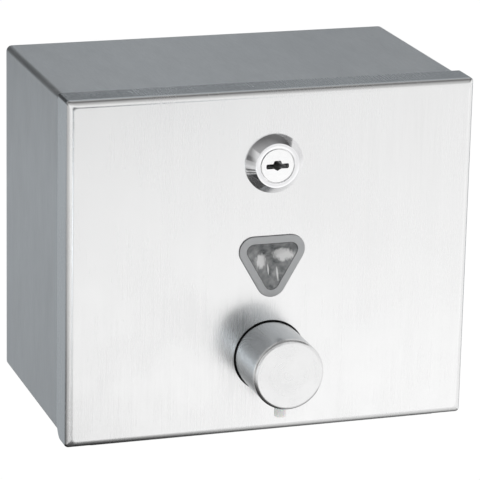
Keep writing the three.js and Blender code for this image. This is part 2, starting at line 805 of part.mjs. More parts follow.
// The elbow at the back of the barrel, with a vertical chamber for the inlet ball
function inletElbow() {
  const neckStart = barrelEnd + elbowFlange;
  const middle = neckStart + elbowNeckLength;
  const body = join(
    rodY(barrelBore - fitGap, barrelEnd - elbowPlugLength, neckStart, 0, 0),
    rodY(barrelRadius, barrelEnd, neckStart, 0, 0, roundSteps),
    rodY(elbowNeckRadius, neckStart - weldSink, middle, 0, 0),
    rodZ(elbowRadius, -elbowBottom, elbowTop, 0, middle),
  );
  const seatTop = -elbowBottom + seatHeight;
  const elbow = cut(
    body,
    rodY(elbowBore, barrelEnd - elbowPlugLength - cutOverrun, middle, 0, 0),
    rodZ(chamberRadius, -elbowBottom - cutOverrun, chamberTop, 0, middle),
    rodZ(seatRadius + fitGap, -elbowBottom - cutOverrun, seatTop + fitGap, 0, middle),
  );
  return piece('inlet_elbow', elbow, whitePlastic);
}

function inletPlace() {
  return { y: barrelEnd + elbowFlange + elbowNeckLength, seatTop: -elbowBottom + seatHeight };
}

function inletSeat() {
  const { y, seatTop } = inletPlace();
  const coneRadius = ballRadius + fitGap;
  const seat = turnedZ([
    [seatBore, -elbowBottom], [seatRadius, -elbowBottom], [seatRadius, seatTop], [coneRadius, seatTop],
    [seatBore, seatTop - seatLip - coneRadius + seatBore],
  ]);
  return placed(piece('inlet_seat', seat, whitePlastic), 0, y, 0);
}

// The ball rests on the cone of the seat, whose wall leans at 45 degrees below its lip
function ballHeight() {
  const { seatTop } = inletPlace();
  const coneRadius = ballRadius + fitGap;
  const slope = Math.atan2(seatLip + coneRadius - seatBore, coneRadius - seatBore);
  return seatTop - coneRadius * Math.tan(slope) + (ballRadius + fitGap) / Math.cos(slope);
}

function inletBall() {
  const ball = toSolid(new THREE.SphereGeometry(ballRadius, smallSteps, smallSteps / 2).rotateX(Math.PI / 2));
  return placed(piece('inlet_ball', ball, zincPlate), 0, inletPlace().y, ballHeight());
}

function intakeTube() {
  const top = -elbowBottom;
  const bottom = tankBottomZ + tankWall + intakeFloorGap - knobZ;
  const tube = turnedZ([[intakeBore, bottom], [intakeRadius, bottom], [intakeRadius, top], [intakeBore, top]]);
  const span = [-intakeRadius - cutOverrun, intakeRadius + cutOverrun];
  const low = [bottom - cutOverrun, bottom + intakeNotch];
  const half = intakeNotch / 2;
  const notches = [block(span, [-half, half], low), block([-half, half], span, low)];
  return placed(piece('intake_tube', cut(tube, ...notches), whitePlastic), 0, inletPlace().y, 0);
}

// Pieces that move with the knob
function pushKnob() {
  const skirtEnd = panelSheet + knobSkirtReach;
  const face = -knobProjection;
  const cup = turnedY([
    [0, face], [knobRadius - knobChamfer, face], [knobRadius, face + knobChamfer], [knobRadius, skirtEnd],
    [knobRadius - knobWall, skirtEnd], [knobRadius - knobWall, face + knobFace], [0, face + knobFace],
  ], roundSteps);
  const nozzleHole = rodZ(nozzleRadius + fitGap, -knobRadius - cutOverrun, -stemBossRadius, 0, -nozzleForward);
  return piece('push_knob', cut(cup, nozzleHole), brushedSteel);
}

function plungerStem() {
  const face = -knobProjection + knobFace;
  const pistonFront = valveWallBack + fitGap;
  const end = pistonFront + pistonLength - pistonFloor - fitGap;
  const body = turnedY([
    [0, face], [stemHeadRadius, face], [stemHeadRadius, face + stemHeadThickness],
    [stemBossRadius, face + stemHeadThickness], [stemBossRadius, -stemBossBack], [stemRadius, -stemBossBack],
    [stemRadius, end], [0, end],
  ], smallSteps);
  const bore = rodY(stemBore, -nozzleForward, end + cutOverrun, 0, 0);
  const socket = rodZ(nozzleRadius + fitGap, -stemBossRadius - cutOverrun, 0, 0, -nozzleForward);
  return piece('plunger_stem', cut(body, bore, socket), whitePlastic);
}

function nozzle() {
  const bottom = -knobRadius - nozzleDrop;
  const tube = turnedZ([
    [nozzleBore, bottom], [nozzleRadius, bottom], [nozzleRadius, -nozzleSocketTop], [nozzleBore, -nozzleSocketTop],
  ]);
  return placed(piece('nozzle', tube, whitePlastic), 0, -nozzleForward, 0);
}

function piston() {
  const front = valveWallBack + fitGap;
  const back = front + pistonLength;
  const socket = stemRadius + fitGap;
  const grooveFront = front + (pistonLength - sealGroove) / 2;
  const grooveRadius = pistonRadius - sealGrooveDepth;
  const cupRadius = outletFlangeRadius + fitGap;
  const cupFront = back - outletFlange - fitGap;
  const body = turnedY([
    [socket, front], [pistonRadius, front], [pistonRadius, grooveFront], [grooveRadius, grooveFront],
    [grooveRadius, grooveFront + sealGroove], [pistonRadius, grooveFront + sealGroove], [pistonRadius, back],
    [cupRadius, back], [cupRadius, cupFront], [outletNoseRadius + fitGap, cupFront],
    [outletNoseRadius + fitGap, back - pistonFloor], [socket, back - pistonFloor],
  ], smallSteps);
  return piece('piston', body, whitePlastic);
}

function pistonSeal() {
  const front = valveWallBack + fitGap + (pistonLength - sealGroove) / 2 + fitGap;
  const inner = pistonRadius - sealGrooveDepth + fitGap;
  return ring('piston_seal', inner, barrelBore - fitGap, front, front + sealGroove - 2 * fitGap, rubber);
}

function outletValve() {
  const back = valveWallBack + fitGap + pistonLength;
  const valve = turnedY([
    [outletBore, back - outletNose], [outletNoseRadius, back - outletNose], [outletNoseRadius, back - outletFlange],
    [outletFlangeRadius, back - outletFlange], [outletFlangeRadius, back], [outletBore, back],
  ], smallSteps);
  return piece('outlet_valve', valve, rubber);
}

// A compression spring between the piston and the elbow
class Helix extends THREE.Curve {
  constructor(radius, turns, start, end) {
    super();
    Object.assign(this, { radius, turns, start, end });
  }

  getPoint(t) {
    const angle = 2 * Math.PI * this.turns * t;
    return new THREE.Vector3(
      this.radius * Math.cos(angle), this.start + (this.end - this.start) * t, this.radius * Math.sin(angle),
    );
  }
}

function returnSpring() {
  const start = valveWallBack + fitGap + pistonLength + fitGap + springWire;
  const end = barrelEnd - elbowPlugLength - fitGap - springWire;
  const path = new Helix(springRadius, springTurns, start, end);
  const steps = springTurns * curlSteps;
  const points = path.getPoints(steps);
  let least = Infinity;
  points.forEach((a, i) => points.slice(i + curlSteps / 2).forEach((b) => {
    least = Math.min(least, a.distanceTo(b) - 2 * springWire);
  }));
  console.log('least gap between the turns of return_spring', least.toFixed(2), 'mm');
  const section = new THREE.Shape(circle(springWire, wireSides));
  const wire = new THREE.ExtrudeGeometry(section, { steps, extrudePath: path, bevelEnabled: false });
  return piece('return_spring', toSolid(wire), zincPlate);
}

function valveParts() {
  const gasketBack = valveWallBack + tankGasketThickness;
  const nut = hexNut(
    'barrel_nut', barrelNutAcross, barrelNutThickness, barrelRadius + fitGap, whitePlastic, roundSteps,
  );
  const plunger = groupAt(
    0, 0, 0,
    pushKnob(), plungerStem(), nozzle(), piston(), pistonSeal(), outletValve(),
  );
  return groupAt(
    0, frontY, knobZ,
    knobCollar(), valveBody(),
    ring('stem_seal', stemRadius + fitGap, stemSealRadius, valveWallFront - stemSealThickness, valveWallFront, rubber),
    ring('tank_gasket', barrelRadius + fitGap, tankGasketRadius, valveWallBack, gasketBack, rubber),
    placed(nut, 0, gasketBack + tankWall, 0),
    returnSpring(), inletElbow(), inletSeat(), intakeTube(), inletBall(), plunger,
  );
}

// Tank with its filler neck, lid ears and valve hole
function mouthCentreY() {
  return tankFrontY + tankDepth * mouthSetbackShare;
}

function lidAxis() {
  const y = mouthCentreY() + mouthDepth / 2 + neckWall + lidAxisSetback;
  const z = tankTopZ + neckHeight + fitGap + lidGasketThickness + lidThickness / 2;
  return { y, z };
}

function shiftedY(points, y) {
  return points.map((point) => new THREE.Vector2(point.x, point.y + y));
}

function tank() {
  const half = tankWidth / 2;
  const outer = bottleZ([-half, half], [tankFrontY, strapFrontY], [tankBottomZ, tankTopZ], tankCorner, tankEdge);
  const inner = bottleZ(
    [-half + tankWall, half - tankWall], [tankFrontY + tankWall, strapFrontY - tankWall],
    [tankBottomZ + tankWall, tankTopZ - tankWall], tankCorner - tankWall, tankEdge - tankWall,
  );
  const neckOutline = roundedRectangle(mouthWidth + 2 * neckWall, mouthDepth + 2 * neckWall, mouthCorner + neckWall);
  const neckTop = tankTopZ + neckHeight;
  const neck = plateZ(shiftedY(neckOutline, mouthCentreY()), tankTopZ - weldSink, neckTop);
  const mouthOutline = roundedRectangle(mouthWidth, mouthDepth, mouthCorner);
  const mouth = plateZ(shiftedY(mouthOutline, mouthCentreY()), tankTopZ - tankWall - cutOverrun, neckTop + cutOverrun);
  const valveHole = rodY(barrelRadius + fitGap, tankFrontY - cutOverrun, tankFrontY + tankWall + cutOverrun, 0, knobZ, roundSteps);
  const axis = lidAxis();
  const ears = [-1, 1].flatMap((side) => {
    const inside = side * (lidKnuckleWidth / 2 + fitGap);
    const [x0, x1] = [inside, inside + side * earWidth].sort((a, b) => a - b);
    return [
      rodX(earRadius, x0, x1, axis.y, axis.z),
      block([x0, x1], [axis.y - earRadius, axis.y + earRadius], [tankTopZ - weldSink, axis.z]),
    ];
  });
  const pinHole = rodX(lidPinRadius + fitGap, -half, half, axis.y, axis.z);
  const body = cut(join(cut(outer, inner), neck, ...ears), mouth, valveHole, pinHole);
  return piece('tank', body, tankPlastic);
}

function lidPin() {
  const axis = lidAxis();
  const end = lidKnuckleWidth / 2 + fitGap + earWidth + lidPinOverhang;
  return piece('lid_pin', rodX(lidPinRadius, -end, end, axis.y, axis.z), zincPlate);
}

// Lid and its gasket, drawn about the lid's hinge axis
function lidParts() {
  const axis = lidAxis();
  const mouthY = mouthCentreY() - axis.y;
  const front = mouthY - mouthDepth / 2 - neckWall - lidOverhang;
  const back = -lidEdgeGap;
  const top = lidThickness / 2;
  const width = mouthWidth + 2 * (neckWall + lidOverhang);
  const plate = plateZ(
    shiftedY(roundedRectangle(width, back - front, mouthCorner), (front + back) / 2), -top, top,
  );
  const tab = plateZ(
    shiftedY(roundedRectangle(lidTabWidth, 2 * lidTabReach, lidTabReach / 2), front), -top, top,
  );
  const knuckleHalf = lidKnuckleWidth / 2;
  const tongue = block([-knuckleHalf, knuckleHalf], [back - weldSink, 0], [-top, top]);
  const knuckle = rodX(lidKnuckleRadius, -knuckleHalf, knuckleHalf, 0, 0);
  const bore = rodX(lidPinRadius + fitGap, -width, width, 0, 0);
  const lid = piece('filler_lid', cut(join(plate, tab, tongue, knuckle), bore), whitePlastic);

  const sealOuter = roundedRectangle(mouthWidth + 2 * neckWall, mouthDepth + 2 * neckWall, mouthCorner + neckWall);
  const sealInner = roundedRectangle(mouthWidth, mouthDepth, mouthCorner);
  const low = -top - lidGasketThickness;
  const gasket = cut(
    plateZ(shiftedY(sealOuter, mouthY), low, -top),
    plateZ(shiftedY(sealInner, mouthY), low - cutOverrun, -top + cutOverrun),
  );
  return groupAt(0, axis.y, axis.z, lid, piece('lid_gasket', gasket, rubber));
}

// A strap from the panel's back, under the tank and up behind it
function cradleStrap(name, x) {
  const outerBend = strapBend + strapThickness;
  const under = tankBottomZ - strapThickness;
  const back = strapFrontY + strapThickness;
  const footTop = tankBottomZ + strapFootHeight;
  const outline = new THREE.Shape();
  outline.moveTo(panelBackY, footTop);
  outline.lineTo(panelBackY, under + outerBend);
  outline.absarc(panelBackY + outerBend, under + outerBend, outerBend, Math.PI, 3 * Math.PI / 2, false);
  outline.absarc(back - outerBend, under + outerBend, outerBend, 3 * Math.PI / 2, 2 * Math.PI, false);
  outline.lineTo(back, strapTopZ);
  outline.lineTo(strapFrontY, strapTopZ);
  outline.absarc(back - outerBend, under + outerBend, strapBend, 2 * Math.PI, 3 * Math.PI / 2, true);
  outline.absarc(panelBackY + outerBend, under + outerBend, strapBend, 3 * Math.PI / 2, Math.PI, true);
  outline.lineTo(panelBackY + strapThickness, footTop);
  const strip = plateX(outline.getPoints(cornerSteps), x - strapWidth / 2, x + strapWidth / 2);
  const holes = strapStudRises.map((rise) => (
    rodY(studRadius + fitGap, panelBackY - cutOverrun, panelBackY + strapThickness + cutOverrun, x, tankBottomZ + rise)
  ));
  return piece(name, cut(strip, ...holes), zincPlate);
}

// The whole dispenser
const cabinet = groupAt(
  0, 0, 0,
  cabinetShell(), lockStrike(), hingePacker(), hingeLeaf('hinge_cabinet_leaf', 1), hingePin(), ...bumpers(),
);

const tiltingFront = groupAt(
  0, 0, 0,
  frontPanel(), hingeLeaf('hinge_panel_leaf', -1), lockParts(), windowParts(), valveParts(),
  ...studNuts('valve_nut', valveStuds()), ...studNuts('strap_nut', strapStuds()),
  cradleStrap('cradle_strap_left', -strapSpread / 2), cradleStrap('cradle_strap_right', strapSpread / 2),
  tank(), lidPin(), lidParts(),
);

const dispenser = new THREE.Group();
dispenser.add(cabinet, tiltingFront);

export default dispenser;
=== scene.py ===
"""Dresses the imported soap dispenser: finished pieces, materials, studio and camera.

Every size is in millimetres in the CAD frame (+X right, +Y into the wall, +Z up) and turns into
metres only where a mesh is closed. Each sub-assembly is a class that builds its own pieces.
"""

import logging
import math
from collections.abc import Sequence
from dataclasses import dataclass
from enum import Enum

import bmesh
import bpy
from mathutils import Matrix, Vector
from mathutils.geometry import tessellate_polygon


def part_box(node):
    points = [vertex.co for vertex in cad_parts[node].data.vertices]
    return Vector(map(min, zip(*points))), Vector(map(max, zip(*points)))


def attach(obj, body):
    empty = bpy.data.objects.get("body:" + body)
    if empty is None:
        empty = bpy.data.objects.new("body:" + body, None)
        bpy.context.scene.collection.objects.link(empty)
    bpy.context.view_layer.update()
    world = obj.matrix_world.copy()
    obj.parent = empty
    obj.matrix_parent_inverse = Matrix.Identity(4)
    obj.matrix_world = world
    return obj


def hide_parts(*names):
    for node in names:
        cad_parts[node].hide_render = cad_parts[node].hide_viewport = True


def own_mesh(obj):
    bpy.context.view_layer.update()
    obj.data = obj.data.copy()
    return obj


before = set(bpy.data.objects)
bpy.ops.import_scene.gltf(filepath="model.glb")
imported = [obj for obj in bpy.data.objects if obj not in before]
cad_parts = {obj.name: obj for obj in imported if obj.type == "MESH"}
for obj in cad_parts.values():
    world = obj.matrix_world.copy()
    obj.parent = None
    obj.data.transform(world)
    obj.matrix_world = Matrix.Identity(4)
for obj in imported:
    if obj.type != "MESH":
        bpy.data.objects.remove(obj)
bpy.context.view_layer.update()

Flat = tuple[float, float]
Colour = tuple[float, float, float]
Spot = tuple[float, float, float, float]
Outline = Sequence[Flat]
Piece = bpy.types.Object
Socket = bpy.types.NodeSocket

# Metres in a millimetre, and the distance in metres at which two points are one
MM = 0.001
WELD = 1e-6

# Angles in degrees: the bend past which an edge is sharp, and the bend of a flat face's triangles
SHARP = 32
LEVEL = 0.2

# Places and sizes of the assembly that several classes share, in millimetres
FRONT_Y = -113.0
SHEET = 0.8
PANEL_BACK_Y = FRONT_Y + SHEET
LOCK_Z = 45.2
WINDOW_Z = 1.18
KNOB_Z = -42.3
VALVE_STUDS = 14.85
STRAP_X = 45.0
STRAP_STUDS = (-61.0, -52.0)
STUD_HOLE = 1.8

log = logging.getLogger("dispenser")


# --- Outlines ---


class Plane(Enum):
    """The plane that an outline is drawn in, named by the axis that its depth runs along."""

    SIDE = "x"
    FRONT = "y"
    TOP = "z"

    def place(self, point: Flat, depth: float) -> Vector:
        """Puts a flat point into space.

        Args:
            point: The two coordinates in the plane, in the order of their axes.
            depth: The place along the third axis.

        Returns:
            The point in space.
        """
        first, second = point
        if self is Plane.FRONT:
            return Vector((first, depth, second))
        if self is Plane.TOP:
            return Vector((first, second, depth))
        return Vector((depth, first, second))


def rounded(corners: Outline, radii: float | Sequence[float], steps: int = 6) -> list[Flat]:
    """Rounds the corners of a closed outline.

    Args:
        corners: The outline's sharp corners in order.
        radii: One radius for all corners, or one for each. Zero keeps a corner sharp.
        steps: Straight steps in each round corner.

    Returns:
        The rounded outline.
    """
    count = len(corners)
    each = [float(radii)] * count if isinstance(radii, (int, float)) else list(radii)
    outline: list[Flat] = []
    for i, radius in enumerate(each):
        here = Vector(corners[i])
        if radius == 0:
            outline.append((here.x, here.y))
            continue
        back = (Vector(corners[i - 1]) - here).normalized()
        ahead = (Vector(corners[(i + 1) % count]) - here).normalized()
        half = back.angle(ahead) / 2
        centre = here + (back + ahead).normalized() * (radius / math.sin(half))
        start = here + back * (radius / math.tan(half)) - centre
        end = here + ahead * (radius / math.tan(half)) - centre
        first = math.atan2(start.y, start.x)
        sweep = (math.atan2(end.y, end.x) - first + math.pi) % (2 * math.pi) - math.pi
        for step in range(steps + 1):
            angle = first + sweep * step / steps
            outline.append((centre.x + radius * math.cos(angle), centre.y + radius * math.sin(angle)))
    return outline


def rectangle(
    width: float, height: float, radius: float, centre: Flat = (0, 0), steps: int = 8
) -> list[Flat]:
    """Draws a rectangle with round corners.

    Args:
        width: Its size along the first axis.
        height: Its size along the second axis.
        radius: The radius of its corners.
        centre: Its middle.
        steps: Straight steps in each corner.

    Returns:
        The outline, starting at the corner where both coordinates are high.
    """
    across, up = width / 2, height / 2
    signs = ((1, 1), (-1, 1), (-1, -1), (1, -1))
    corners = [(centre[0] + x * across, centre[1] + z * up) for x, z in signs]
    return rounded(corners, radius, steps)


def circle(radius: float, steps: int, centre: Flat = (0, 0)) -> list[Flat]:
    """Draws a circle of so many straight steps round its middle."""
    angles = [2 * math.pi * i / steps for i in range(steps)]
    return [(centre[0] + radius * math.cos(a), centre[1] + radius * math.sin(a)) for a in angles]


def arc(radius: float, start: float, sweep: float, steps: int, centre: Flat = (0, 0)) -> list[Flat]:
    """Draws a part of a circle, with both ends, from an angle in degrees and through a sweep of them."""
    angles = [math.radians(start + sweep * i / steps) for i in range(steps + 1)]
    return [(centre[0] + radius * math.cos(a), centre[1] + radius * math.sin(a)) for a in angles]


def triangle(side: float, radius: float, centre: Flat = (0, 0), steps: int = 12) -> list[Flat]:
    """Draws a triangle that stands on one point, with round corners.

    Args:
        side: The distance between the centres of two corners.
        radius: The radius of the corners.
        centre: Its middle.
        steps: Straight steps in each corner.

    Returns:
        The outline.
    """
    outline: list[Flat] = []
    reach = side / math.sqrt(3)
    for middle in (math.pi / 6, 5 * math.pi / 6, 3 * math.pi / 2):
        x = centre[0] + reach * math.cos(middle)
        z = centre[1] + reach * math.sin(middle)
        for step in range(steps + 1):
            angle = middle + (step / steps - 0.5) * 2 * math.pi / 3
            outline.append((x + radius * math.cos(angle), z + radius * math.sin(angle)))
    return outline


def bend(radius: float, steps: int = 8) -> list[Flat]:
    """Steps round a folded edge: how far each step is drawn in, and how far along the depth it lies."""
    angles = [math.pi / 2 * i / steps for i in range(steps + 1)]
    return [(radius * (1 - math.sin(a)), radius * (1 - math.cos(a))) for a in angles]


# --- Meshes ---


class Draft:
    """A mesh in the making: points in millimetres and the faces between them."""

    def __init__(self) -> None:
        """Starts with nothing drawn."""
        self.points: list[Vector] = []
        self.faces: list[tuple[int, ...]] = []

    def add(self, places: Sequence[Vector]) -> list[int]:
        """Adds points.

        Args:
            places: Where they lie.

        Returns:
            Their numbers.
        """
        start = len(self.points)
        self.points.extend(places)
        return list(range(start, len(self.points)))

    def ring(self, outline: Outline, plane: Plane, depth: float) -> list[int]:
        """Adds an outline at one depth and returns the numbers of its points."""
        return self.add([plane.place(point, depth) for point in outline])

    def bridge(self, near: Sequence[int], far: Sequence[int]) -> None:
        """Joins two rings of as many points side by side, where a ring of one point is a pole.

        Args:
            near: The first ring.
            far: The second ring.
        """
        count = max(len(near), len(far))
        for i in range(count):
            j = (i + 1) % count
            if len(near) == 1:
                self.faces.append((near[0], far[j], far[i]))
            elif len(far) == 1:
                self.faces.append((near[i], near[j], far[0]))
            else:
                self.faces.append((near[i], near[j], far[j], far[i]))

    def skin(self, rings: Sequence[Sequence[int]], closed: bool = False) -> None:
        """Joins rings in order.

        Args:
            rings: The rings to join.
            closed: Whether the last ring is joined to the first.
        """
        for near, far in zip(rings, rings[1:]):
            self.bridge(near, far)
        if closed:
            self.bridge(rings[-1], rings[0])

    def cap(self, outline: Sequence[int], holes: Sequence[Sequence[int]] = ()) -> None:
        """Fills a flat ring, leaving its holes open.

        Args:
            outline: The outer ring.
            holes: The rings inside it that stay open.
        """
        loops = [outline, *holes]
        order = [i for loop in loops for i in loop]
        for face in tessellate_polygon([[self.points[i] for i in loop] for loop in loops]):
            self.faces.append(tuple(order[i] for i in face))

    def walls(
        self, outlines: Sequence[Outline], plane: Plane, near: float, far: float
    ) -> tuple[list[list[int]], list[list[int]]]:
        """Draws the walls of holes.

        Args:
            outlines: The outlines of the holes.
            plane: The plane they are drawn in.
            near: Where the walls begin.
            far: Where the walls end.

        Returns:
            The rings where the walls begin, and those where they end.
        """
        first = [self.ring(outline, plane, near) for outline in outlines]
        second = [self.ring(outline, plane, far) for outline in outlines]
        for one, other in zip(first, second):
            self.bridge(one, other)
        return first, second

    def plate(
        self,
        outline: Outline,
        plane: Plane,
        low: float,
        high: float,
        holes: Sequence[Outline] = (),
    ) -> None:
        """Draws a flat piece of even thickness.

        Args:
            outline: Its outer edge.
            plane: The plane it is drawn in.
            low: Where its thickness begins.
            high: Where its thickness ends.
            holes: Outlines cut through it.
        """
        below, above = [], []
        for edge in (outline, *holes):
            below.append(self.ring(edge, plane, low))
            above.append(self.ring(edge, plane, high))
            self.bridge(below[-1], above[-1])
        self.cap(below[0], below[1:])
        self.cap(above[0], above[1:])

    def turned(self, profile: Outline, plane: Plane, centre: Flat = (0, 0), steps: int = 64) -> None:
        """Turns a profile about an axis.

        Args:
            profile: Pairs of a radius and a place along the axis, on the axis at both ends or at neither.
            plane: The plane across the axis.
            centre: Where the axis crosses that plane.
            steps: Straight steps round the axis.
        """
        rings = []
        for radius, along in profile:
            if radius == 0:
                rings.append(self.add([plane.place(centre, along)]))
            else:
                rings.append(self.ring(circle(radius, steps, centre), plane, along))
        self.skin(rings, closed=profile[0][0] > 0)

    def close(self, name: str, sharp: float = SHARP, dissolve: bool = True) -> Piece:
        """Turns the draft into an object with smooth faces and sharp edges.

        Args:
            name: The object's name.
            sharp: The angle in degrees past which an edge stays sharp.
            dissolve: Whether the triangles of flat faces are joined.

        Returns:
            The object, in metres, at the origin.
        """
        mesh = bpy.data.meshes.new(name)
        mesh.from_pydata([point * MM for point in self.points], [], self.faces)
        work = bmesh.new()
        work.from_mesh(mesh)
        bmesh.ops.remove_doubles(work, verts=work.verts, dist=WELD)
        if dissolve:
            bmesh.ops.dissolve_limit(
                work,
                angle_limit=math.radians(LEVEL),
                use_dissolve_boundaries=False,
                verts=work.verts,
                edges=work.edges,
            )
        bmesh.ops.recalc_face_normals(work, faces=work.faces)
        work.to_mesh(mesh)
        work.free()
        piece = put(name, mesh)
        smooth(piece, sharp)
        return piece


def put(name: str, data: bpy.types.ID) -> Piece:
    """Puts a new object into the scene.

    Args:
        name: Its name.
        data: Its mesh, lamp or camera.

    Returns:
        The object.
    """
    made = bpy.data.objects.new(name, data)
    bpy.context.scene.collection.objects.link(made)
    return made


def smooth(piece: Piece, sharp: float = SHARP) -> None:
    """Shades a piece smooth, but for edges that turn by more than an angle in degrees."""
    piece.data.shade_smooth()
    piece.data.set_sharp_from_angle(angle=math.radians(sharp))


def settle(piece: Piece) -> Piece:
    """Turns a piece's modifiers into its plain mesh.

    Args:
        piece: The piece.

    Returns:
        The same piece, without modifiers.
    """
    graph = bpy.context.evaluated_depsgraph_get()
    settled = bpy.data.meshes.new_from_object(
        piece.evaluated_get(graph), preserve_all_data_layers=True, depsgraph=graph
    )
    old = piece.data
    piece.modifiers.clear()
    piece.data = settled
    settled.name = piece.name
    bpy.data.meshes.remove(old)
    return piece


def soften(piece: Piece, width: float, segments: int = 2, angle: float = SHARP) -> Piece:
    """Gives the sharp edges of a piece a small round and evens its shading.

    Args:
        piece: The piece.
        width: How far the round reaches, in millimetres.
        segments: Steps across the round.
        angle: The angle in degrees past which an edge is rounded.

    Returns:
        The same piece.
    """
    edge = piece.modifiers.new("edge", "BEVEL")
    edge.width = width * MM
    edge.segments = segments
    edge.limit_method = "ANGLE"
    edge.angle_limit = math.radians(angle)
    edge.use_clamp_overlap = True
    edge.harden_normals = False
    even = piece.modifiers.new("even", "WEIGHTED_NORMAL")
    even.mode = "FACE_AREA"
    even.weight = 100
    even.keep_sharp = True
    return settle(piece)


def carve(piece: Piece, tool: Draft, add: bool = False) -> Piece:
    """Cuts a drafted shape out of a piece, or joins it on.

    Args:
        piece: The piece.
        tool: The shape.
        add: Whether the shape is joined on.

    Returns:
        The same piece.
    """
    cutter = tool.close("tool", dissolve=False)
    change = piece.modifiers.new("change", "BOOLEAN")
    change.object = cutter
    change.operation = "UNION" if add else "DIFFERENCE"
    change.solver = "EXACT"
    settle(piece)
    bpy.data.meshes.remove(cutter.data)
    work = bmesh.new()
    work.from_mesh(piece.data)
    bmesh.ops.remove_doubles(work, verts=work.verts, dist=WELD)
    work.to_mesh(piece.data)
    work.free()
    smooth(piece)
    return piece


def cut(piece: Piece, outline: Outline, plane: Plane, low: float, high: float, add: bool = False) -> Piece:
    """Cuts a straight hole into a piece, or joins a straight block on.

    Args:
        piece: The piece.
        outline: The outline of the hole or block.
        plane: The plane it is drawn in.
        low: Where its depth begins.
        high: Where its depth ends.
        add: Whether it is joined on.

    Returns:
        The same piece.
    """
    tool = Draft()
    tool.plate(outline, plane, low, high)
    return carve(piece, tool, add)


def unfold(piece: Piece) -> None:
    """Lays the grain of a folded sheet out on its faces, in metres.

    Args:
        piece: The sheet. Its UV map gets the place across the grain, then the place along it.
    """
    mesh = piece.data
    layer = mesh.uv_layers.get("sheet") or mesh.uv_layers.new(name="sheet")
    for face in mesh.polygons:
        x, y, z = (abs(value) for value in face.normal)
        for corner in face.loop_indices:
            place = mesh.vertices[mesh.loops[corner].vertex_index].co
            across = place.y if x > max(y, z) else place.x
            along = place.y if z >= max(x, y) else place.z
            layer.data[corner].uv = (across, along)


# --- Finishes ---


class Wiring:
    """A hand for adding and linking the nodes of a material, a world or a tree of Geometry Nodes."""

    def __init__(self, tree: bpy.types.NodeTree) -> None:
        """Takes a node tree in hand."""
        self.nodes = tree.nodes
        self.links = tree.links

    def node(
        self, kind: str, inputs: dict[str | int, object] | None = None, **settings: object
    ) -> bpy.types.Node:
        """Adds a node.

        Args:
            kind: The node's type.
            inputs: Sockets to link, or plain values to set, by the input's name or number.
            **settings: The node's own settings.

        Returns:
            The node.
        """
        made = self.nodes.new(kind)
        for key, value in settings.items():
            setattr(made, key, value)
        for key, value in (inputs or {}).items():
            if isinstance(value, Socket):
                self.links.new(value, made.inputs[key])
            else:
                made.inputs[key].default_value = value
        return made

    def math(self, operation: str, *values: Socket | float) -> Socket:
        """Adds a Math node on sockets or plain numbers and returns its result."""
        return self.node("ShaderNodeMath", dict(enumerate(values)), operation=operation).outputs[0]


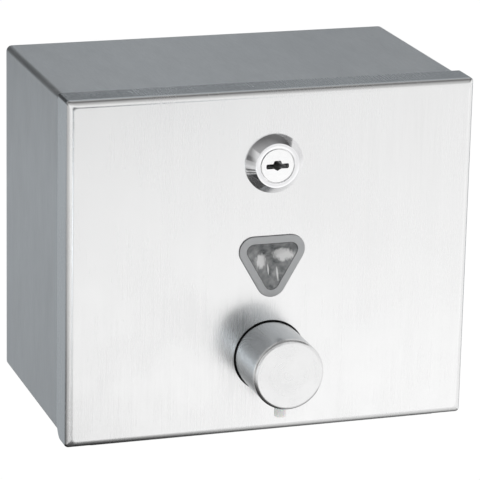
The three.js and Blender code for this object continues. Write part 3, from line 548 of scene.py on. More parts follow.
class Shader(Wiring):
    """The nodes of one material."""

    def __init__(self, name: str) -> None:
        """Starts a material with a plain surface.

        Args:
            name: The material's name.
        """
        self.material = bpy.data.materials.new(name)
        self.material.use_nodes = True
        super().__init__(self.material.node_tree)
        self.surface = self.nodes["Principled BSDF"]

    def painted(self, name: str) -> Socket:
        """Reads an attribute that is painted on the piece, which is 0 where there is none."""
        return self.node("ShaderNodeAttribute", attribute_name=name).outputs["Fac"]

    def set(self, **values: object) -> None:
        """Sets plain values on the surface's own sockets, with _ for a space in a socket's name."""
        for key, value in values.items():
            self.surface.inputs[key.replace("_", " ")].default_value = value

    def place(self, scale: Flat | Colour, centre: Colour = (0, 0, 0), sheet: bool = False) -> Socket:
        """Reads the place on the piece.

        Args:
            scale: What each coordinate, in metres, is multiplied by.
            centre: The place in millimetres that the pattern is centred on.
            sheet: Whether the unfolded sheet is read rather than the object's coordinates.

        Returns:
            The scaled place.
        """
        source = self.node("ShaderNodeTexCoord").outputs["UV" if sheet else "Object"]
        ends = {0: source, 1: tuple(value * MM for value in centre)}
        moved = self.node("ShaderNodeVectorMath", ends, operation="SUBTRACT").outputs[0]
        ends = {0: moved, 1: (*scale, 1)[:3]}
        return self.node("ShaderNodeVectorMath", ends, operation="MULTIPLY").outputs[0]

    def length(self, place: Socket) -> Socket:
        """Measures how far a place is from the middle of its pattern."""
        return self.node("ShaderNodeVectorMath", {0: place}, operation="LENGTH").outputs["Value"]

    def noise(self, place: Socket, scale: float = 1, detail: float = 3, rough: float = 0.55) -> Socket:
        """Adds a noise pattern, which is about 0.5 in the middle, and reads it at a place."""
        sizes = {"Vector": place, "Scale": scale, "Detail": detail, "Roughness": rough}
        return self.node("ShaderNodeTexNoise", sizes).outputs["Fac"]

    def span(self, value: Socket, low: float, high: float, start: float = 0.3, end: float = 0.7) -> Socket:
        """Maps a value from its range between start and end to one between low and high."""
        ends = {"Value": value, "From Min": start, "From Max": end, "To Min": low, "To Max": high}
        return self.node("ShaderNodeMapRange", ends, clamp=True).outputs["Result"]

    def mix(self, share: Socket, first: Colour | Socket, second: Colour | Socket) -> Socket:
        """Mixes two colours.

        Args:
            share: The share of the second colour.
            first: The first colour.
            second: The second colour.

        Returns:
            The mixed colour.
        """
        first, second = ((*end, 1) if isinstance(end, tuple) else end for end in (first, second))
        ends = {"Factor": share, 6: first, 7: second}
        return self.node("ShaderNodeMix", ends, data_type="RGBA").outputs[2]

    def bump(self, height: Socket, strength: float, distance: float, under: Socket | None = None) -> Socket:
        """Adds relief.

        Args:
            height: The relief's pattern.
            strength: How much of it shows.
            distance: Its height in millimetres.
            under: Coarser relief that it lies on.

        Returns:
            The bent normal.
        """
        sizes = {"Height": height, "Strength": strength, "Distance": distance * MM}
        if under is not None:
            sizes["Normal"] = under
        return self.node("ShaderNodeBump", sizes).outputs["Normal"]

    def finish(self, colour: Socket, roughness: Socket, normal: Socket) -> bpy.types.Material:
        """Joins the patterns to the surface.

        Args:
            colour: The surface's colour.
            roughness: Its roughness.
            normal: Its bent normal.

        Returns:
            The finished material.
        """
        for name, value in (("Base Color", colour), ("Roughness", roughness), ("Normal", normal)):
            self.links.new(value, self.surface.inputs[name])
        return self.material


def scaled(colour: Colour, factor: float) -> Colour:
    """Makes a colour lighter or darker by a factor."""
    return tuple(min(1.0, value * factor) for value in colour)


def grey(level: float) -> Colour:
    """Gives the grey of one level."""
    return (level, level, level)


@dataclass(frozen=True)
class Finish:
    """What every finish of the dispenser has.

    Attributes:
        slot: The record's material slot, and the material's name.
        colour: Its main colour, linear.
    """

    slot: str
    colour: Colour


@dataclass(frozen=True)
class BrushedSheet(Finish):
    """Satin stainless sheet, ground in one direction before it was folded.

    Attributes:
        roughness: Its middle roughness.
        across: Grain lines per metre across the grain.
        along: Grain lines per metre along it.
        contrast: How much the grain changes the colour.
        relief: Height of the grain in millimetres.
    """

    roughness: float
    across: float = 1300
    along: float = 28
    contrast: float = 0.05
    relief: float = 0.004

    def make(self) -> bpy.types.Material:
        """Builds the material.

        Returns:
            The material.
        """
        shader = Shader(self.slot)
        shader.set(Metallic=1.0)
        fine, broad = (self.across, self.along, 1), (self.across / 9, self.along / 4, 1)
        lines = shader.noise(shader.place(fine, sheet=True), detail=4, rough=0.7)
        bands = shader.noise(shader.place(broad, sheet=True), detail=2)
        hands = shader.noise(shader.place(grey(24)), detail=4)
        grain = shader.math("ADD", shader.math("MULTIPLY", lines, 0.6), shader.math("MULTIPLY", bands, 0.4))
        low, high = scaled(self.colour, 1 - self.contrast), scaled(self.colour, 1 + self.contrast)
        colour = shader.mix(shader.span(grain, 0, 1), low, high)
        worn = shader.math("ADD", shader.span(lines, -0.035, 0.035), shader.span(hands, -0.03, 0.045))
        roughness = shader.math("ADD", worn, self.roughness)
        flatness = shader.bump(shader.noise(shader.place(grey(9)), detail=1), 0.25, 0.12)
        return shader.finish(colour, roughness, shader.bump(grain, 0.5, self.relief, flatness))


@dataclass(frozen=True)
class TurnedSteel(Finish):
    """Satin stainless, turned on a lathe, so that its grain runs round an axis along Y.

    Attributes:
        roughness: Its middle roughness.
        centre: A point on the axis, in millimetres.
        shaded_side_colour: The darker colour painted on the side, painted shade for the darker reflections it
            shows.
        face_y: Where the face ends and the side begins, in millimetres.
        side: How much rougher the side is, or how much smoother where it is negative.
        pitch: Grain lines per metre.
        around: Breaks in the grain per metre.
        contrast: How much the grain changes the colour.
    """

    roughness: float
    centre: Colour
    shaded_side_colour: Colour
    face_y: float
    side: float = 0.1
    pitch: float = 1500
    around: float = 45
    contrast: float = 0.05

    def make(self) -> bpy.types.Material:
        """Builds the material.

        Returns:
            The material.
        """
        shader = Shader(self.slot)
        shader.set(Metallic=1.0)
        reach = shader.length(shader.place((1, 0, 1), self.centre))
        parts = shader.node("ShaderNodeSeparateXYZ", {0: shader.place(grey(1), self.centre)})
        turn = {axis: shader.math("MULTIPLY", parts.outputs[axis], self.around) for axis in ("X", "Z")}
        outwards = shader.math("ADD", reach, parts.outputs["Y"])
        turn["Y"] = shader.math("MULTIPLY", outwards, self.pitch)
        lines = shader.noise(shader.node("ShaderNodeCombineXYZ", turn).outputs[0], detail=3, rough=0.65)
        hands = shader.noise(shader.place(grey(110)), detail=4)
        low, high = scaled(self.colour, 1 - self.contrast), scaled(self.colour, 1 + self.contrast)
        colour = shader.mix(shader.span(lines, 0, 1), low, high)
        worn = shader.math("ADD", shader.span(lines, -0.03, 0.03), shader.span(hands, -0.02, 0.04))
        edge = self.face_y * MM
        beside = shader.span(parts.outputs["Y"], 0, 1, edge, edge + 2 * MM)
        # Painted shade: the side takes a darker colour than the face, for the darker reflections it shows
        colour = shader.mix(beside, colour, self.shaded_side_colour)
        dull = shader.math("ADD", self.roughness, shader.math("MULTIPLY", beside, self.side))
        return shader.finish(colour, shader.math("ADD", worn, dull), shader.bump(lines, 0.3, 0.0015))


@dataclass(frozen=True)
class Plated(Finish):
    """Plated or bare metal without a grain: bright chrome, or zinc with its faint spangle.

    Attributes:
        tint: The colour of its darker or duller spots.
        roughness: Its lowest roughness.
        spread: How much rougher its dull spots are.
        fineness: Spots per metre.
        relief: Height of its unevenness in millimetres.
    """

    tint: Colour
    roughness: float
    spread: float
    fineness: float
    relief: float = 0.004

    def make(self) -> bpy.types.Material:
        """Builds the material.

        Where keyway shade is painted on, the colour is painted dark and the metal dull: painted shade deep
        inside a slot.

        Returns:
            The material.
        """
        shader = Shader(self.slot)
        shader.set(Metallic=1.0)
        spots = shader.noise(shader.place(grey(self.fineness)), detail=4, rough=0.6)
        fine = shader.noise(shader.place(grey(self.fineness * 7)), detail=2)
        # Painted shade: grime turns the colour near black and the surface dull, deep in the keyway
        grime = shader.painted("grime")
        metal = shader.mix(shader.span(spots, 0, 1), self.colour, self.tint)
        colour = shader.mix(grime, metal, KEYWAY_SHADE)
        rough = shader.math("ADD", shader.span(spots, self.roughness, self.roughness + self.spread), grime)
        return shader.finish(colour, shader.span(rough, 0, 1, 0, 1), shader.bump(fine, 0.3, self.relief))


@dataclass(frozen=True)
class Moulded(Finish):
    """Opaque or milky moulded plastic with a fine die texture.

    Attributes:
        roughness: Its middle roughness.
        milkiness: How far light travels inside it, as a share of full scattering.
        texture: Height of the die texture in millimetres.
        shine: How strongly it reflects, where 0.5 is plain plastic.
    """

    roughness: float
    milkiness: float = 0.0
    texture: float = 0.01
    shine: float = 0.5

    def make(self) -> bpy.types.Material:
        """Builds the material.

        Returns:
            The material.
        """
        shader = Shader(self.slot)
        shader.set(IOR=1.5, Specular_IOR_Level=self.shine)
        shader.set(Subsurface_Weight=self.milkiness, Subsurface_Scale=0.002)
        flow = shader.noise(shader.place(grey(60)), detail=3)
        pores = shader.noise(shader.place(grey(2600)), detail=2)
        colour = shader.mix(shader.span(flow, 0, 1), scaled(self.colour, 0.93), scaled(self.colour, 1.04))
        rough = shader.math("ADD", shader.span(flow, -0.05, 0.06), self.roughness)
        return shader.finish(colour, rough, shader.bump(pores, 0.35, self.texture))


@dataclass(frozen=True)
class Clear(Finish):
    """Clear moulded plastic, hazy, with painted highlights in light patches and a ground rim.

    Attributes:
        roughness: The roughness of its clear parts.
        painted_glints: Its painted highlights, light patches each with a place across and up and two half
            sizes, in millimetres.
        clearness: The share of light that passes.
        index: How strongly it bends light.
    """

    roughness: float
    painted_glints: tuple[Spot, ...] = ()
    clearness: float = 0.5
    index: float = 1.49

    def make(self) -> bpy.types.Material:
        """Builds the material.

        Where frost is painted on it is pale and dull, and edge shade paints thin dark lines: a painted shadow
        along the rim's outer edge and a painted dark reflection along the recess's edge.

        Returns:
            The material.
        """
        shader = Shader(self.slot)
        shader.set(IOR=self.index, Transmission_Weight=self.clearness)
        flow = shader.noise(shader.place((90, 90, 260)), detail=3)
        streaks = shader.noise(shader.place((900, 60, 420)), detail=3)
        mottle = shader.noise(shader.place((330, 60, 330)), detail=3)
        light = shader.span(mottle, 0.02, 0.4)
        # Painted highlights: the listed light patches stand in for bright reflections in the window's facets
        for x, z, wide, high in self.painted_glints:
            reach = shader.length(shader.place((1 / (wide * MM), 0, 1 / (high * MM)), (x, 0, z)))
            ragged = shader.math("ADD", reach, shader.span(streaks, -0.25, 0.25))
            light = shader.math("MAXIMUM", light, shader.span(ragged, 1, 0, 0.6, 1.1))
        # Painted shadow and painted dark reflection: ink darkens thin lines along the window's edges
        frost, ink = shader.painted("frost"), shader.painted("ink")
        glass = shader.mix(light, self.colour, grey(1.0))
        ground = shader.mix(frost, glass, FROST)
        colour = shader.mix(ink, ground, EDGE_SHADE_COLOUR)
        haze = shader.span(flow, self.roughness * 0.6, self.roughness * 1.8)
        rough = shader.math("ADD", haze, shader.math("MULTIPLY", frost, 0.35))
        return shader.finish(colour, rough, shader.bump(flow, 0.25, 0.04))


@dataclass(frozen=True)
class Rubber(Finish):
    """Dull black rubber with a chalky bloom."""

    def make(self) -> bpy.types.Material:
        """Builds the material.

        Returns:
            The material.
        """
        shader = Shader(self.slot)
        shader.set(IOR=1.45)
        bloom = shader.noise(shader.place(grey(420)), detail=5)
        colour = shader.mix(shader.span(bloom, 0, 1), self.colour, scaled(self.colour, 2.2))
        return shader.finish(colour, shader.span(bloom, 0.62, 0.85), shader.bump(bloom, 0.5, 0.03))


# The colours of the painted shade deep in the keyway, of the window's ground rim and of the painted shadow
# and dark reflection along its edges
KEYWAY_SHADE = (0.012, 0.012, 0.013)
FROST = (0.60, 0.61, 0.62)
EDGE_SHADE_COLOUR = (0.06, 0.06, 0.065)

# Painted highlights on the window: light patches that stand in for bright reflections in its facets
WINDOW_GLINTS = (
    (-4.2, 0.6, 3.6, 3.4),
    (5.8, 3.4, 4.6, 3.4),
    (-0.6, -3.2, 0.45, 2.8),
    (3.0, -5.2, 0.5, 3.0),
)

KNOB_FINISH = TurnedSteel(
    "knob_steel",
    grey(0.77),
    0.25,
    centre=(0, 0, KNOB_Z),
    # Painted shade on the knob's side
    shaded_side_colour=(0.46, 0.48, 0.495),
    face_y=-139.2,
    side=-0.07,
    contrast=0.015,
)

FINISHES = (
    BrushedSheet("panel_steel", grey(0.82), 0.25, contrast=0.02, relief=0.002),
    BrushedSheet("body_steel", grey(0.80), 0.40, across=900, along=120, contrast=0.07),
    KNOB_FINISH,
    Plated("lock_chrome", (0.93, 0.93, 0.94), (0.85, 0.85, 0.86), 0.05, 0.06, 160, 0.002),
    Plated("plug_chrome", grey(0.98), grey(0.93), 0.14, 0.10, 300, 0.003),
    Plated("zinc_steel", (0.52, 0.53, 0.53), (0.40, 0.41, 0.42), 0.30, 0.22, 260, 0.008),
    Plated("ball_steel", (0.66, 0.66, 0.67), (0.60, 0.60, 0.61), 0.08, 0.06, 300, 0.002),
    Clear("clear_plastic", (0.10, 0.11, 0.115), 0.03, WINDOW_GLINTS),
    Moulded("tank_plastic", (0.70, 0.73, 0.71), 0.42, milkiness=0.35),
    Moulded("white_plastic", (0.78, 0.78, 0.75), 0.36, milkiness=0.1),
    Moulded("nozzle_plastic", (0.80, 0.80, 0.78), 0.34, milkiness=0.2),
    Moulded("black_plastic", grey(0.004), 0.5, shine=0.2),
    Rubber("rubber", (0.012, 0.012, 0.013)),
)


class Finishes:
    """All the materials of the dispenser, by the record's slot."""

    def __init__(self) -> None:
        """Builds every material once."""
        self.made = {finish.slot: finish.make() for finish in FINISHES}

    def hand_over(self, piece: Piece, slot: str, body: str, *nodes: str) -> Piece:
        """Dresses a finished piece and puts it in the place of its CAD nodes.

        Args:
            piece: The finished piece.
            slot: The material slot it takes its finish from.
            body: The CAD body it rides on.
            *nodes: The CAD nodes it stands for.

        Returns:
            The piece.
        """
        piece.data.materials.clear()
        piece.data.materials.append(self.made[slot])
        unfold(piece)
        if nodes:
            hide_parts(*nodes)
        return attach(piece, body)


# --- Geometry Nodes ---


class Tree(Wiring):
    """One Geometry Nodes tree with named inputs, which is run once on a host object."""

    def __init__(self, name: str) -> None:
        """Starts an empty tree.

        Args:
            name: The tree's name, which its piece takes too.
        """
        self.name = name
        self.group = bpy.data.node_groups.new(name, "GeometryNodeTree")
        self.group.is_modifier = True
        super().__init__(self.group)
        self.values: dict[str, object] = {}
        for direction in ("INPUT", "OUTPUT"):
            self.group.interface.new_socket(
                name="Geometry", in_out=direction, socket_type="NodeSocketGeometry"
            )
        self.entry = self.node("NodeGroupInput")
        self.exit = self.node("NodeGroupOutput")

    def size(self, name: str, value: float | int | Piece | bpy.types.Material) -> Socket:
        """Adds a named input with its value.

        Args:
            name: The input's name.
            value: A length in millimetres, a whole number, an object or a material.

        Returns:
            The input's socket inside the tree.
        """
        kind = "NodeSocketFloat"
        if isinstance(value, Piece):
            kind = "NodeSocketObject"
        elif isinstance(value, bpy.types.Material):
            kind = "NodeSocketMaterial"
        elif isinstance(value, int):
            kind = "NodeSocketInt"
        entry = self.group.interface.new_socket(name=name, in_out="INPUT", socket_type=kind)
        self.values[entry.identifier] = value * MM if isinstance(value, float) else value
        return self.entry.outputs[name]

    def sweep(self, path: Socket, radius: Socket | float, steps: int) -> bpy.types.Node:
        """Sweeps a circle along a path, with closed ends.

        Args:
            path: The path.
            radius: The circle's radius.
            steps: Straight steps round it.

        Returns:
            The sweep's node.
        """
        section = self.node("GeometryNodeCurvePrimitiveCircle", {"Resolution": steps, "Radius": radius})
        sizes = {"Curve": path, "Profile Curve": section.outputs[0], "Fill Caps": True}
        return self.node("GeometryNodeCurveToMesh", sizes)

    def copies(self, shape: Socket) -> Socket:
        """Sets a shape out on the host's points and returns the copies."""
        spots = {"Points": self.entry.outputs["Geometry"], "Instance": shape}
        return self.node("GeometryNodeInstanceOnPoints", spots).outputs[0]

    def run(
        self,
        shape: Socket,
        material: bpy.types.Material,
        points: Sequence[Vector] = ((0, 0, 0),),
    ) -> Piece:
        """Ends the tree, runs it on a host and keeps the result as a plain mesh.

        Args:
            shape: The geometry that the tree ends in.
            material: The material it is given.
            points: The host's points in millimetres.

        Returns:
            The piece.
        """
        real = self.node("GeometryNodeRealizeInstances", {0: shape})
        dress = {"Geometry": real.outputs[0], "Material": self.size("Material", material)}
        dressed = self.node("GeometryNodeSetMaterial", dress)
        self.links.new(dressed.outputs[0], self.exit.inputs[0])
        mesh = bpy.data.meshes.new(self.name)
        mesh.from_pydata([Vector(point) * MM for point in points], [], [])
        host = put(self.name, mesh)
        made = host.modifiers.new(self.name, "NODES")
        made.node_group = self.group
        for identifier, value in self.values.items():
            made[identifier] = value
        return settle(host)


def set_out(
    name: str,
    pattern: Piece,
    points: Sequence[Vector],
    material: bpy.types.Material,
    sharp: float = SHARP,
) -> Piece:
    """Sets the same small piece out at several places as one mesh.

    Args:
        name: The name of the result.
        pattern: The small piece, drawn about the origin. It is used up.
        points: The places in millimetres.
        material: The material.
        sharp: The angle in degrees past which an edge stays sharp.

    Returns:
        The piece.
    """
    tree = Tree(name)
    source = tree.node("GeometryNodeObjectInfo", {"Object": tree.size("Piece", pattern)})
    made = tree.run(tree.copies(source.outputs["Geometry"]), material, points)
    bpy.data.meshes.remove(pattern.data)
    smooth(made, sharp)
    return made


# --- Shapes that several sub-assemblies share -------------------------------------------------


def turned_blank(
    name: str,
    profile: Outline,
    plane: Plane,
    centre: Flat = (0, 0),
    steps: int = 64,
    sharp: float = SHARP,
) -> Piece:
    """Makes a turned piece that keeps its sharp edges.

    Args:
        name: The piece's name.
        profile: Pairs of a radius and a place along the axis.
        plane: The plane across the axis.
        centre: Where the axis crosses that plane.
        steps: Straight steps round the axis.
        sharp: The angle in degrees past which an edge stays sharp.

    Returns:
        The piece.
    """
    draft = Draft()
    draft.turned(profile, plane, centre, steps)
    return draft.close(name, sharp, dissolve=False)


def turned_piece(
    name: str,
    profile: Outline,
    plane: Plane,
    centre: Flat = (0, 0),
    edge: float = 0.15,
    steps: int = 64,
) -> Piece:
    """Makes a turned piece, like turned_blank, and rounds its sharp edges."""
    return soften(turned_blank(name, profile, plane, centre, steps), edge)


def plate_piece(
    name: str,
    outline: Outline,
    plane: Plane,
    span: Flat,
    holes: Sequence[Outline] = (),
    edge: float = 0.15,
) -> Piece:
    """Makes a flat piece with softened edges.

    Args:
        name: The piece's name.
        outline: Its outer edge.
        plane: The plane it is drawn in.
        span: Where its thickness begins and ends.
        holes: Outlines cut through it.
        edge: The round on its sharp edges, in millimetres.

    Returns:
        The piece.
    """
    draft = Draft()
    draft.plate(outline, plane, *span, holes)
    return soften(draft.close(name), edge)


def hexagon_nut(name: str, across: float, span: Flat, bore: float, centre: Flat = (0, 0)) -> Piece:
    """Makes a hexagon nut along Y, with its corners turned down at both ends.

    Args:
        name: The nut's name.
        across: Its size across the flats.
        span: Where its thickness begins and ends.
        bore: The radius of its hole.
        centre: The place of its axis.

    Returns:
        The nut.
    """
    draft = Draft()
    steps = 72
    shoulder = across / 2 * 0.96
    start, end = span

    def edge(y: float, inwards: float) -> list[int]:
        """Draws the edge of the flats, which drops towards the nut's corners.

        Args:
            y: Where the nut ends on this side.
            inwards: The way to its middle, 1 or -1.

        Returns:
            The numbers of its points.
        """
        places = []
        for i in range(steps):
            angle = 2 * math.pi * i / steps
            reach = across / 2 / math.cos((angle % (math.pi / 3)) - math.pi / 6)
            drop = (reach - shoulder) * math.tan(math.radians(30))
            flat = (centre[0] + reach * math.cos(angle), centre[1] + reach * math.sin(angle))
            places.append(Plane.FRONT.place(flat, y + inwards * drop))
        return draft.add(places)

    relief = min(0.5, across / 20)
    rings = [
        draft.ring(circle(bore, steps, centre), Plane.FRONT, start + relief),
        draft.ring(circle(bore + relief, steps, centre), Plane.FRONT, start),
        draft.ring(circle(shoulder, steps, centre), Plane.FRONT, start),
        edge(start, 1),
        edge(end, -1),
        draft.ring(circle(shoulder, steps, centre), Plane.FRONT, end),
        draft.ring(circle(bore + relief, steps, centre), Plane.FRONT, end),
        draft.ring(circle(bore, steps, centre), Plane.FRONT, end - relief),
    ]
    draft.skin(rings, closed=True)
    return draft.close(name, sharp=22, dissolve=False)


def thread(radius: float, start: float, end: float, pitch: float, depth: float) -> list[Flat]:
    """Draws the ridges of a thread as part of a profile.

    Args:
        radius: The radius of the crests.
        start: Where the thread begins along the axis.
        end: Where it ends.
        pitch: The distance between crests.
        depth: How deep the roots are.

    Returns:
        Pairs of a radius and a place along the axis, with crests at both ends.
    """
    count = max(1, int((end - start) / pitch))
    step = (end - start) / count
    ridge = ((0.15, 0.0), (0.5, depth), (0.85, 0.0))
    profile = [(radius, start)]
    for i in range(count):
        low = start + i * step
        profile += [(radius - drop, low + share * step) for share, drop in ridge]
    return [*profile, (radius, end)]


def tube(inner: float, outer: float, start: float, end: float) -> list[Flat]:
    """Draws the square profile of a ring or tube, from two radii and two places along its axis."""
    return [(inner, start), (outer, start), (outer, end), (inner, end)]
# --- Cabinet ---


@dataclass
class Cabinet:
    """The wall cabinet: a folded tray with lips, the lock's strike and four rubber bumpers."""

    finishes: Finishes
    width: float = 181.6
    height: float = 152.6
    front: float = -103.0
    corner: float = 2.5
    back_bend: float = 1.6
    lip_bottom: float = 66.5
    lip_side: float = 80.0
    lip_corner: float = 1.5
    front_round: float = 0.6
    hole_across: float = 60.0
    hole_high: float = 46.3
    hole_low: float = -50.3
    hole_radius: float = 3.2
    head_radius: float = 5.5
    head_drop: float = 9.0
    bumper_radius: float = 3.5
    bumper_stem: float = 1.9
    bumper_barb: float = 2.0
    bumper_gap: float = 0.3
    bumper_places: Flat = (85.0, 56.3)
    pit_floor: float = 0.05
    strike_half: float = 22.0
    strike_height: float = 8.0
    strike_thickness: float = 1.2
    strike_z: float = 71.0

    def keyhole(self, x: float) -> list[Flat]:
        """Draws a keyhole: a round head below and a narrower slot above it.

        Args:
            x: Its place across.

        Returns:
            The outline.
        """
        start = math.degrees(math.acos(self.hole_radius / self.head_radius))
        middle = (x, self.hole_high - self.head_drop)
        head = arc(self.head_radius, 180 - start, 180 + 2 * start, 24, middle)
        return [*head, *arc(self.hole_radius, 0, 180, 12, (x, self.hole_high))]

    def inner_outline(self, inset: float) -> list[Flat]:
        """Draws the inside of the tray, with two more points where the side lips end.

        Args:
            inset: How far it is drawn in from the inner wall.

        Returns:
            The outline, whose points 27 and 28 are those two.
        """
        width, height = self.width - 2 * SHEET - 2 * inset, self.height - 2 * SHEET - 2 * inset
        outline = rectangle(width, height, self.corner - SHEET)
        low = -height / 2
        return [*outline[:27], (-self.lip_side, low), (self.lip_side, low), *outline[27:]]

    def shell(self) -> Piece:
        """Builds the tray.

        Returns:
            The piece.
        """
        draft = Draft()

        def outer(inset: float, y: float) -> list[int]:
            """Draws the outside of the tray at one depth."""
            outline = rectangle(self.width - 2 * inset, self.height - 2 * inset, self.corner)
            return draft.ring(outline, Plane.FRONT, y)

        outside = [outer(inset, -along) for inset, along in bend(self.back_bend, 6)]
        outside += [outer(inset, self.front + along) for inset, along in reversed(bend(self.front_round, 4))]
        draft.skin(outside)
        inside = [
            draft.ring(self.inner_outline(inset), Plane.FRONT, -SHEET - along)
            for inset, along in bend(self.back_bend - SHEET, 4)
        ]
        lip_back = self.front + SHEET
        inside.append(draft.ring(self.inner_outline(0), Plane.FRONT, lip_back))
        draft.skin(inside)

        side, low, high = self.lip_side, SHEET - self.height / 2, self.lip_bottom
        corners = [(side, low), (side, high), (-side, high), (-side, low)]
        opening = rounded(corners, [0, self.lip_corner, self.lip_corner, 0])
        door = draft.ring(opening, Plane.FRONT, self.front)
        last = inside[-1]
        door_back = [last[28], *draft.ring(opening[1:-1], Plane.FRONT, lip_back), last[27]]
        draft.bridge(door, door_back)
        draft.cap([*last[28:], *last[:28], *reversed(door_back[1:-1])])

        across, up = self.bumper_places
        peg = self.bumper_stem + self.bumper_gap
        pegs = [circle(peg, 20, (i * across, k * up)) for i in (-1, 1) for k in (-1, 1)]
        front_holes = [draft.ring(peg, Plane.FRONT, self.front) for peg in pegs]
        draft.cap(outside[-1], [door, *front_holes])
        holes = []
        for x in (-self.hole_across, self.hole_across):
            holes += [self.keyhole(x), circle(self.hole_radius, 24, (x, self.hole_low))]
        near, far = draft.walls(holes, Plane.FRONT, 0, -SHEET)
        draft.cap(outside[0], near)
        draft.cap(inside[0], far)
        for peg, rim in zip(pegs, front_holes):
            pit = draft.ring(peg, Plane.FRONT, lip_back - self.pit_floor)
            draft.bridge(rim, pit)
            draft.cap(pit)
        return soften(draft.close("cabinet_tray"), 0.15)

    def bumpers(self) -> Piece:
        """Builds the four bumpers.

        Returns:
            All of them as one piece.
        """
        radius, stem = self.bumper_radius, self.bumper_stem
        head = self.front - PANEL_BACK_Y - self.bumper_gap
        tail = SHEET + self.bumper_gap
        end = tail + self.bumper_barb
        corners = [(0, -head), (radius, -head), (radius, 0), (stem, 0), (stem, tail), (radius, tail)]
        profile = rounded([*corners, (stem, end), (0, end)], [0, 1.6, 0.5, 0, 0, 0.4, 0.4, 0], 4)
        pattern = turned_blank("bumper", profile, Plane.FRONT, steps=28)
        x, z = self.bumper_places
        points = [Vector((i * x, self.front, k * z)) for i in (-1, 1) for k in (-1, 1)]
        return set_out("bumpers", pattern, points, self.finishes.made["rubber"])

    def build(self) -> None:
        """Builds and hands over every piece."""
        give = self.finishes.hand_over
        give(self.shell(), "body_steel", "cabinet", "cabinet_shell")
        give(self.bumpers(), "rubber", "cabinet", *(f"bumper_{i}" for i in range(1, 5)))
        lip_back = self.front + SHEET
        outline = rectangle(2 * self.strike_half, self.strike_height, 1.0, (0, self.strike_z))
        span = (lip_back, lip_back + self.strike_thickness)
        strike = plate_piece("strike_plate", outline, Plane.FRONT, span, edge=0.25)
        give(strike, "zinc_steel", "cabinet", "lock_strike")


# --- Hinge ---


@dataclass
class Hinge:
    """The piano hinge under the cabinet: two leaves with rolled knuckles, a pin and a packing strip."""

    finishes: Finishes
    y: float = -94.8
    z: float = -79.4
    length: float = 160.0
    radius: float = 1.9
    pin: float = 0.8
    leaf: float = 0.8
    reach: float = 14.0
    count: int = 9
    gap: float = 0.3
    head: float = 1.0
    packing: Flat = (-77.5, -76.3)

    def knuckle(self, side: int, width: float) -> Piece:
        """Rolls one knuckle out of the edge of a leaf.

        Args:
            side: 1 for the leaf that goes back, -1 for the one that goes forward.
            width: The knuckle's length.

        Returns:
            The knuckle, about the origin.
        """
        inner = self.radius - self.leaf
        neck = self.radius + 2 * self.gap
        seam = math.degrees(math.asin((inner - self.gap / 2) / self.radius))
        outside, inside = (arc(radius, 90, 270 + seam, 28) for radius in (self.radius, inner))
        outline = [(neck, self.radius), *outside, *reversed(inside), (neck, inner)]
        draft = Draft()
        draft.plate([(side * y, z) for y, z in outline], Plane.SIDE, -width / 2, width / 2)
        return soften(draft.close("knuckle"), 0.12, angle=50)

    def leaf_piece(self, name: str, side: int, nodes: Sequence[str], body: str) -> None:
        """Builds one leaf with its knuckles and hands it over.

        Args:
            name: The piece's name.
            side: 1 for the leaf that goes back, -1 for the one that goes forward.
            nodes: The CAD nodes it stands for.
            body: The CAD body it rides on.
        """
        pitch = self.length / self.count
        first = 0 if side > 0 else 1
        centres = [(i + 0.5) * pitch - self.length / 2 for i in range(first, self.count, 2)]
        points = [Vector((x, self.y, self.z)) for x in centres]
        zinc = self.finishes.made["zinc_steel"]
        knuckles = set_out(f"{name}_knuckles", self.knuckle(side, pitch - self.gap), points, zinc, 50)
        near, far = (self.radius + self.gap) * side, self.reach * side
        top = self.z + self.radius
        middle = self.y + (near + far) / 2
        outline = rectangle(self.length, abs(far - near), 0.6, (0, middle))
        plate = plate_piece(name, outline, Plane.TOP, (top - self.leaf, top), edge=0.15)
        self.finishes.hand_over(plate, "zinc_steel", body, *nodes)
        self.finishes.hand_over(knuckles, "zinc_steel", body, *nodes)

    def build(self) -> None:
        """Builds and hands over every piece."""
        self.leaf_piece("cabinet_leaf", 1, ["hinge_cabinet_leaf"], "cabinet")
        self.leaf_piece("panel_leaf", -1, ["hinge_panel_leaf"], "front")
        end = self.length / 2 + self.gap
        tip, head = end + self.head, self.radius - self.gap
        half = [(self.pin, end), (head, end), (head, tip), (0, tip)]
        corners = [*((radius, -along) for radius, along in reversed(half)), *half]
        profile = rounded(corners, [0, 0.7, 0.1, 0, 0, 0.1, 0.7, 0], 5)
        pin = turned_piece("hinge_pin_rod", profile, Plane.SIDE, (self.y, self.z), steps=32)
        self.finishes.hand_over(pin, "zinc_steel", "cabinet", "hinge_pin")
        near, far = self.y + self.radius + self.gap, self.y + self.reach
        strip = rectangle(self.length, far - near, 0.6, (0, (near + far) / 2))
        packer = plate_piece("packing_strip", strip, Plane.TOP, self.packing, edge=0.15)
        self.finishes.hand_over(packer, "zinc_steel", "cabinet", "hinge_packer")


# --- Front panel ---


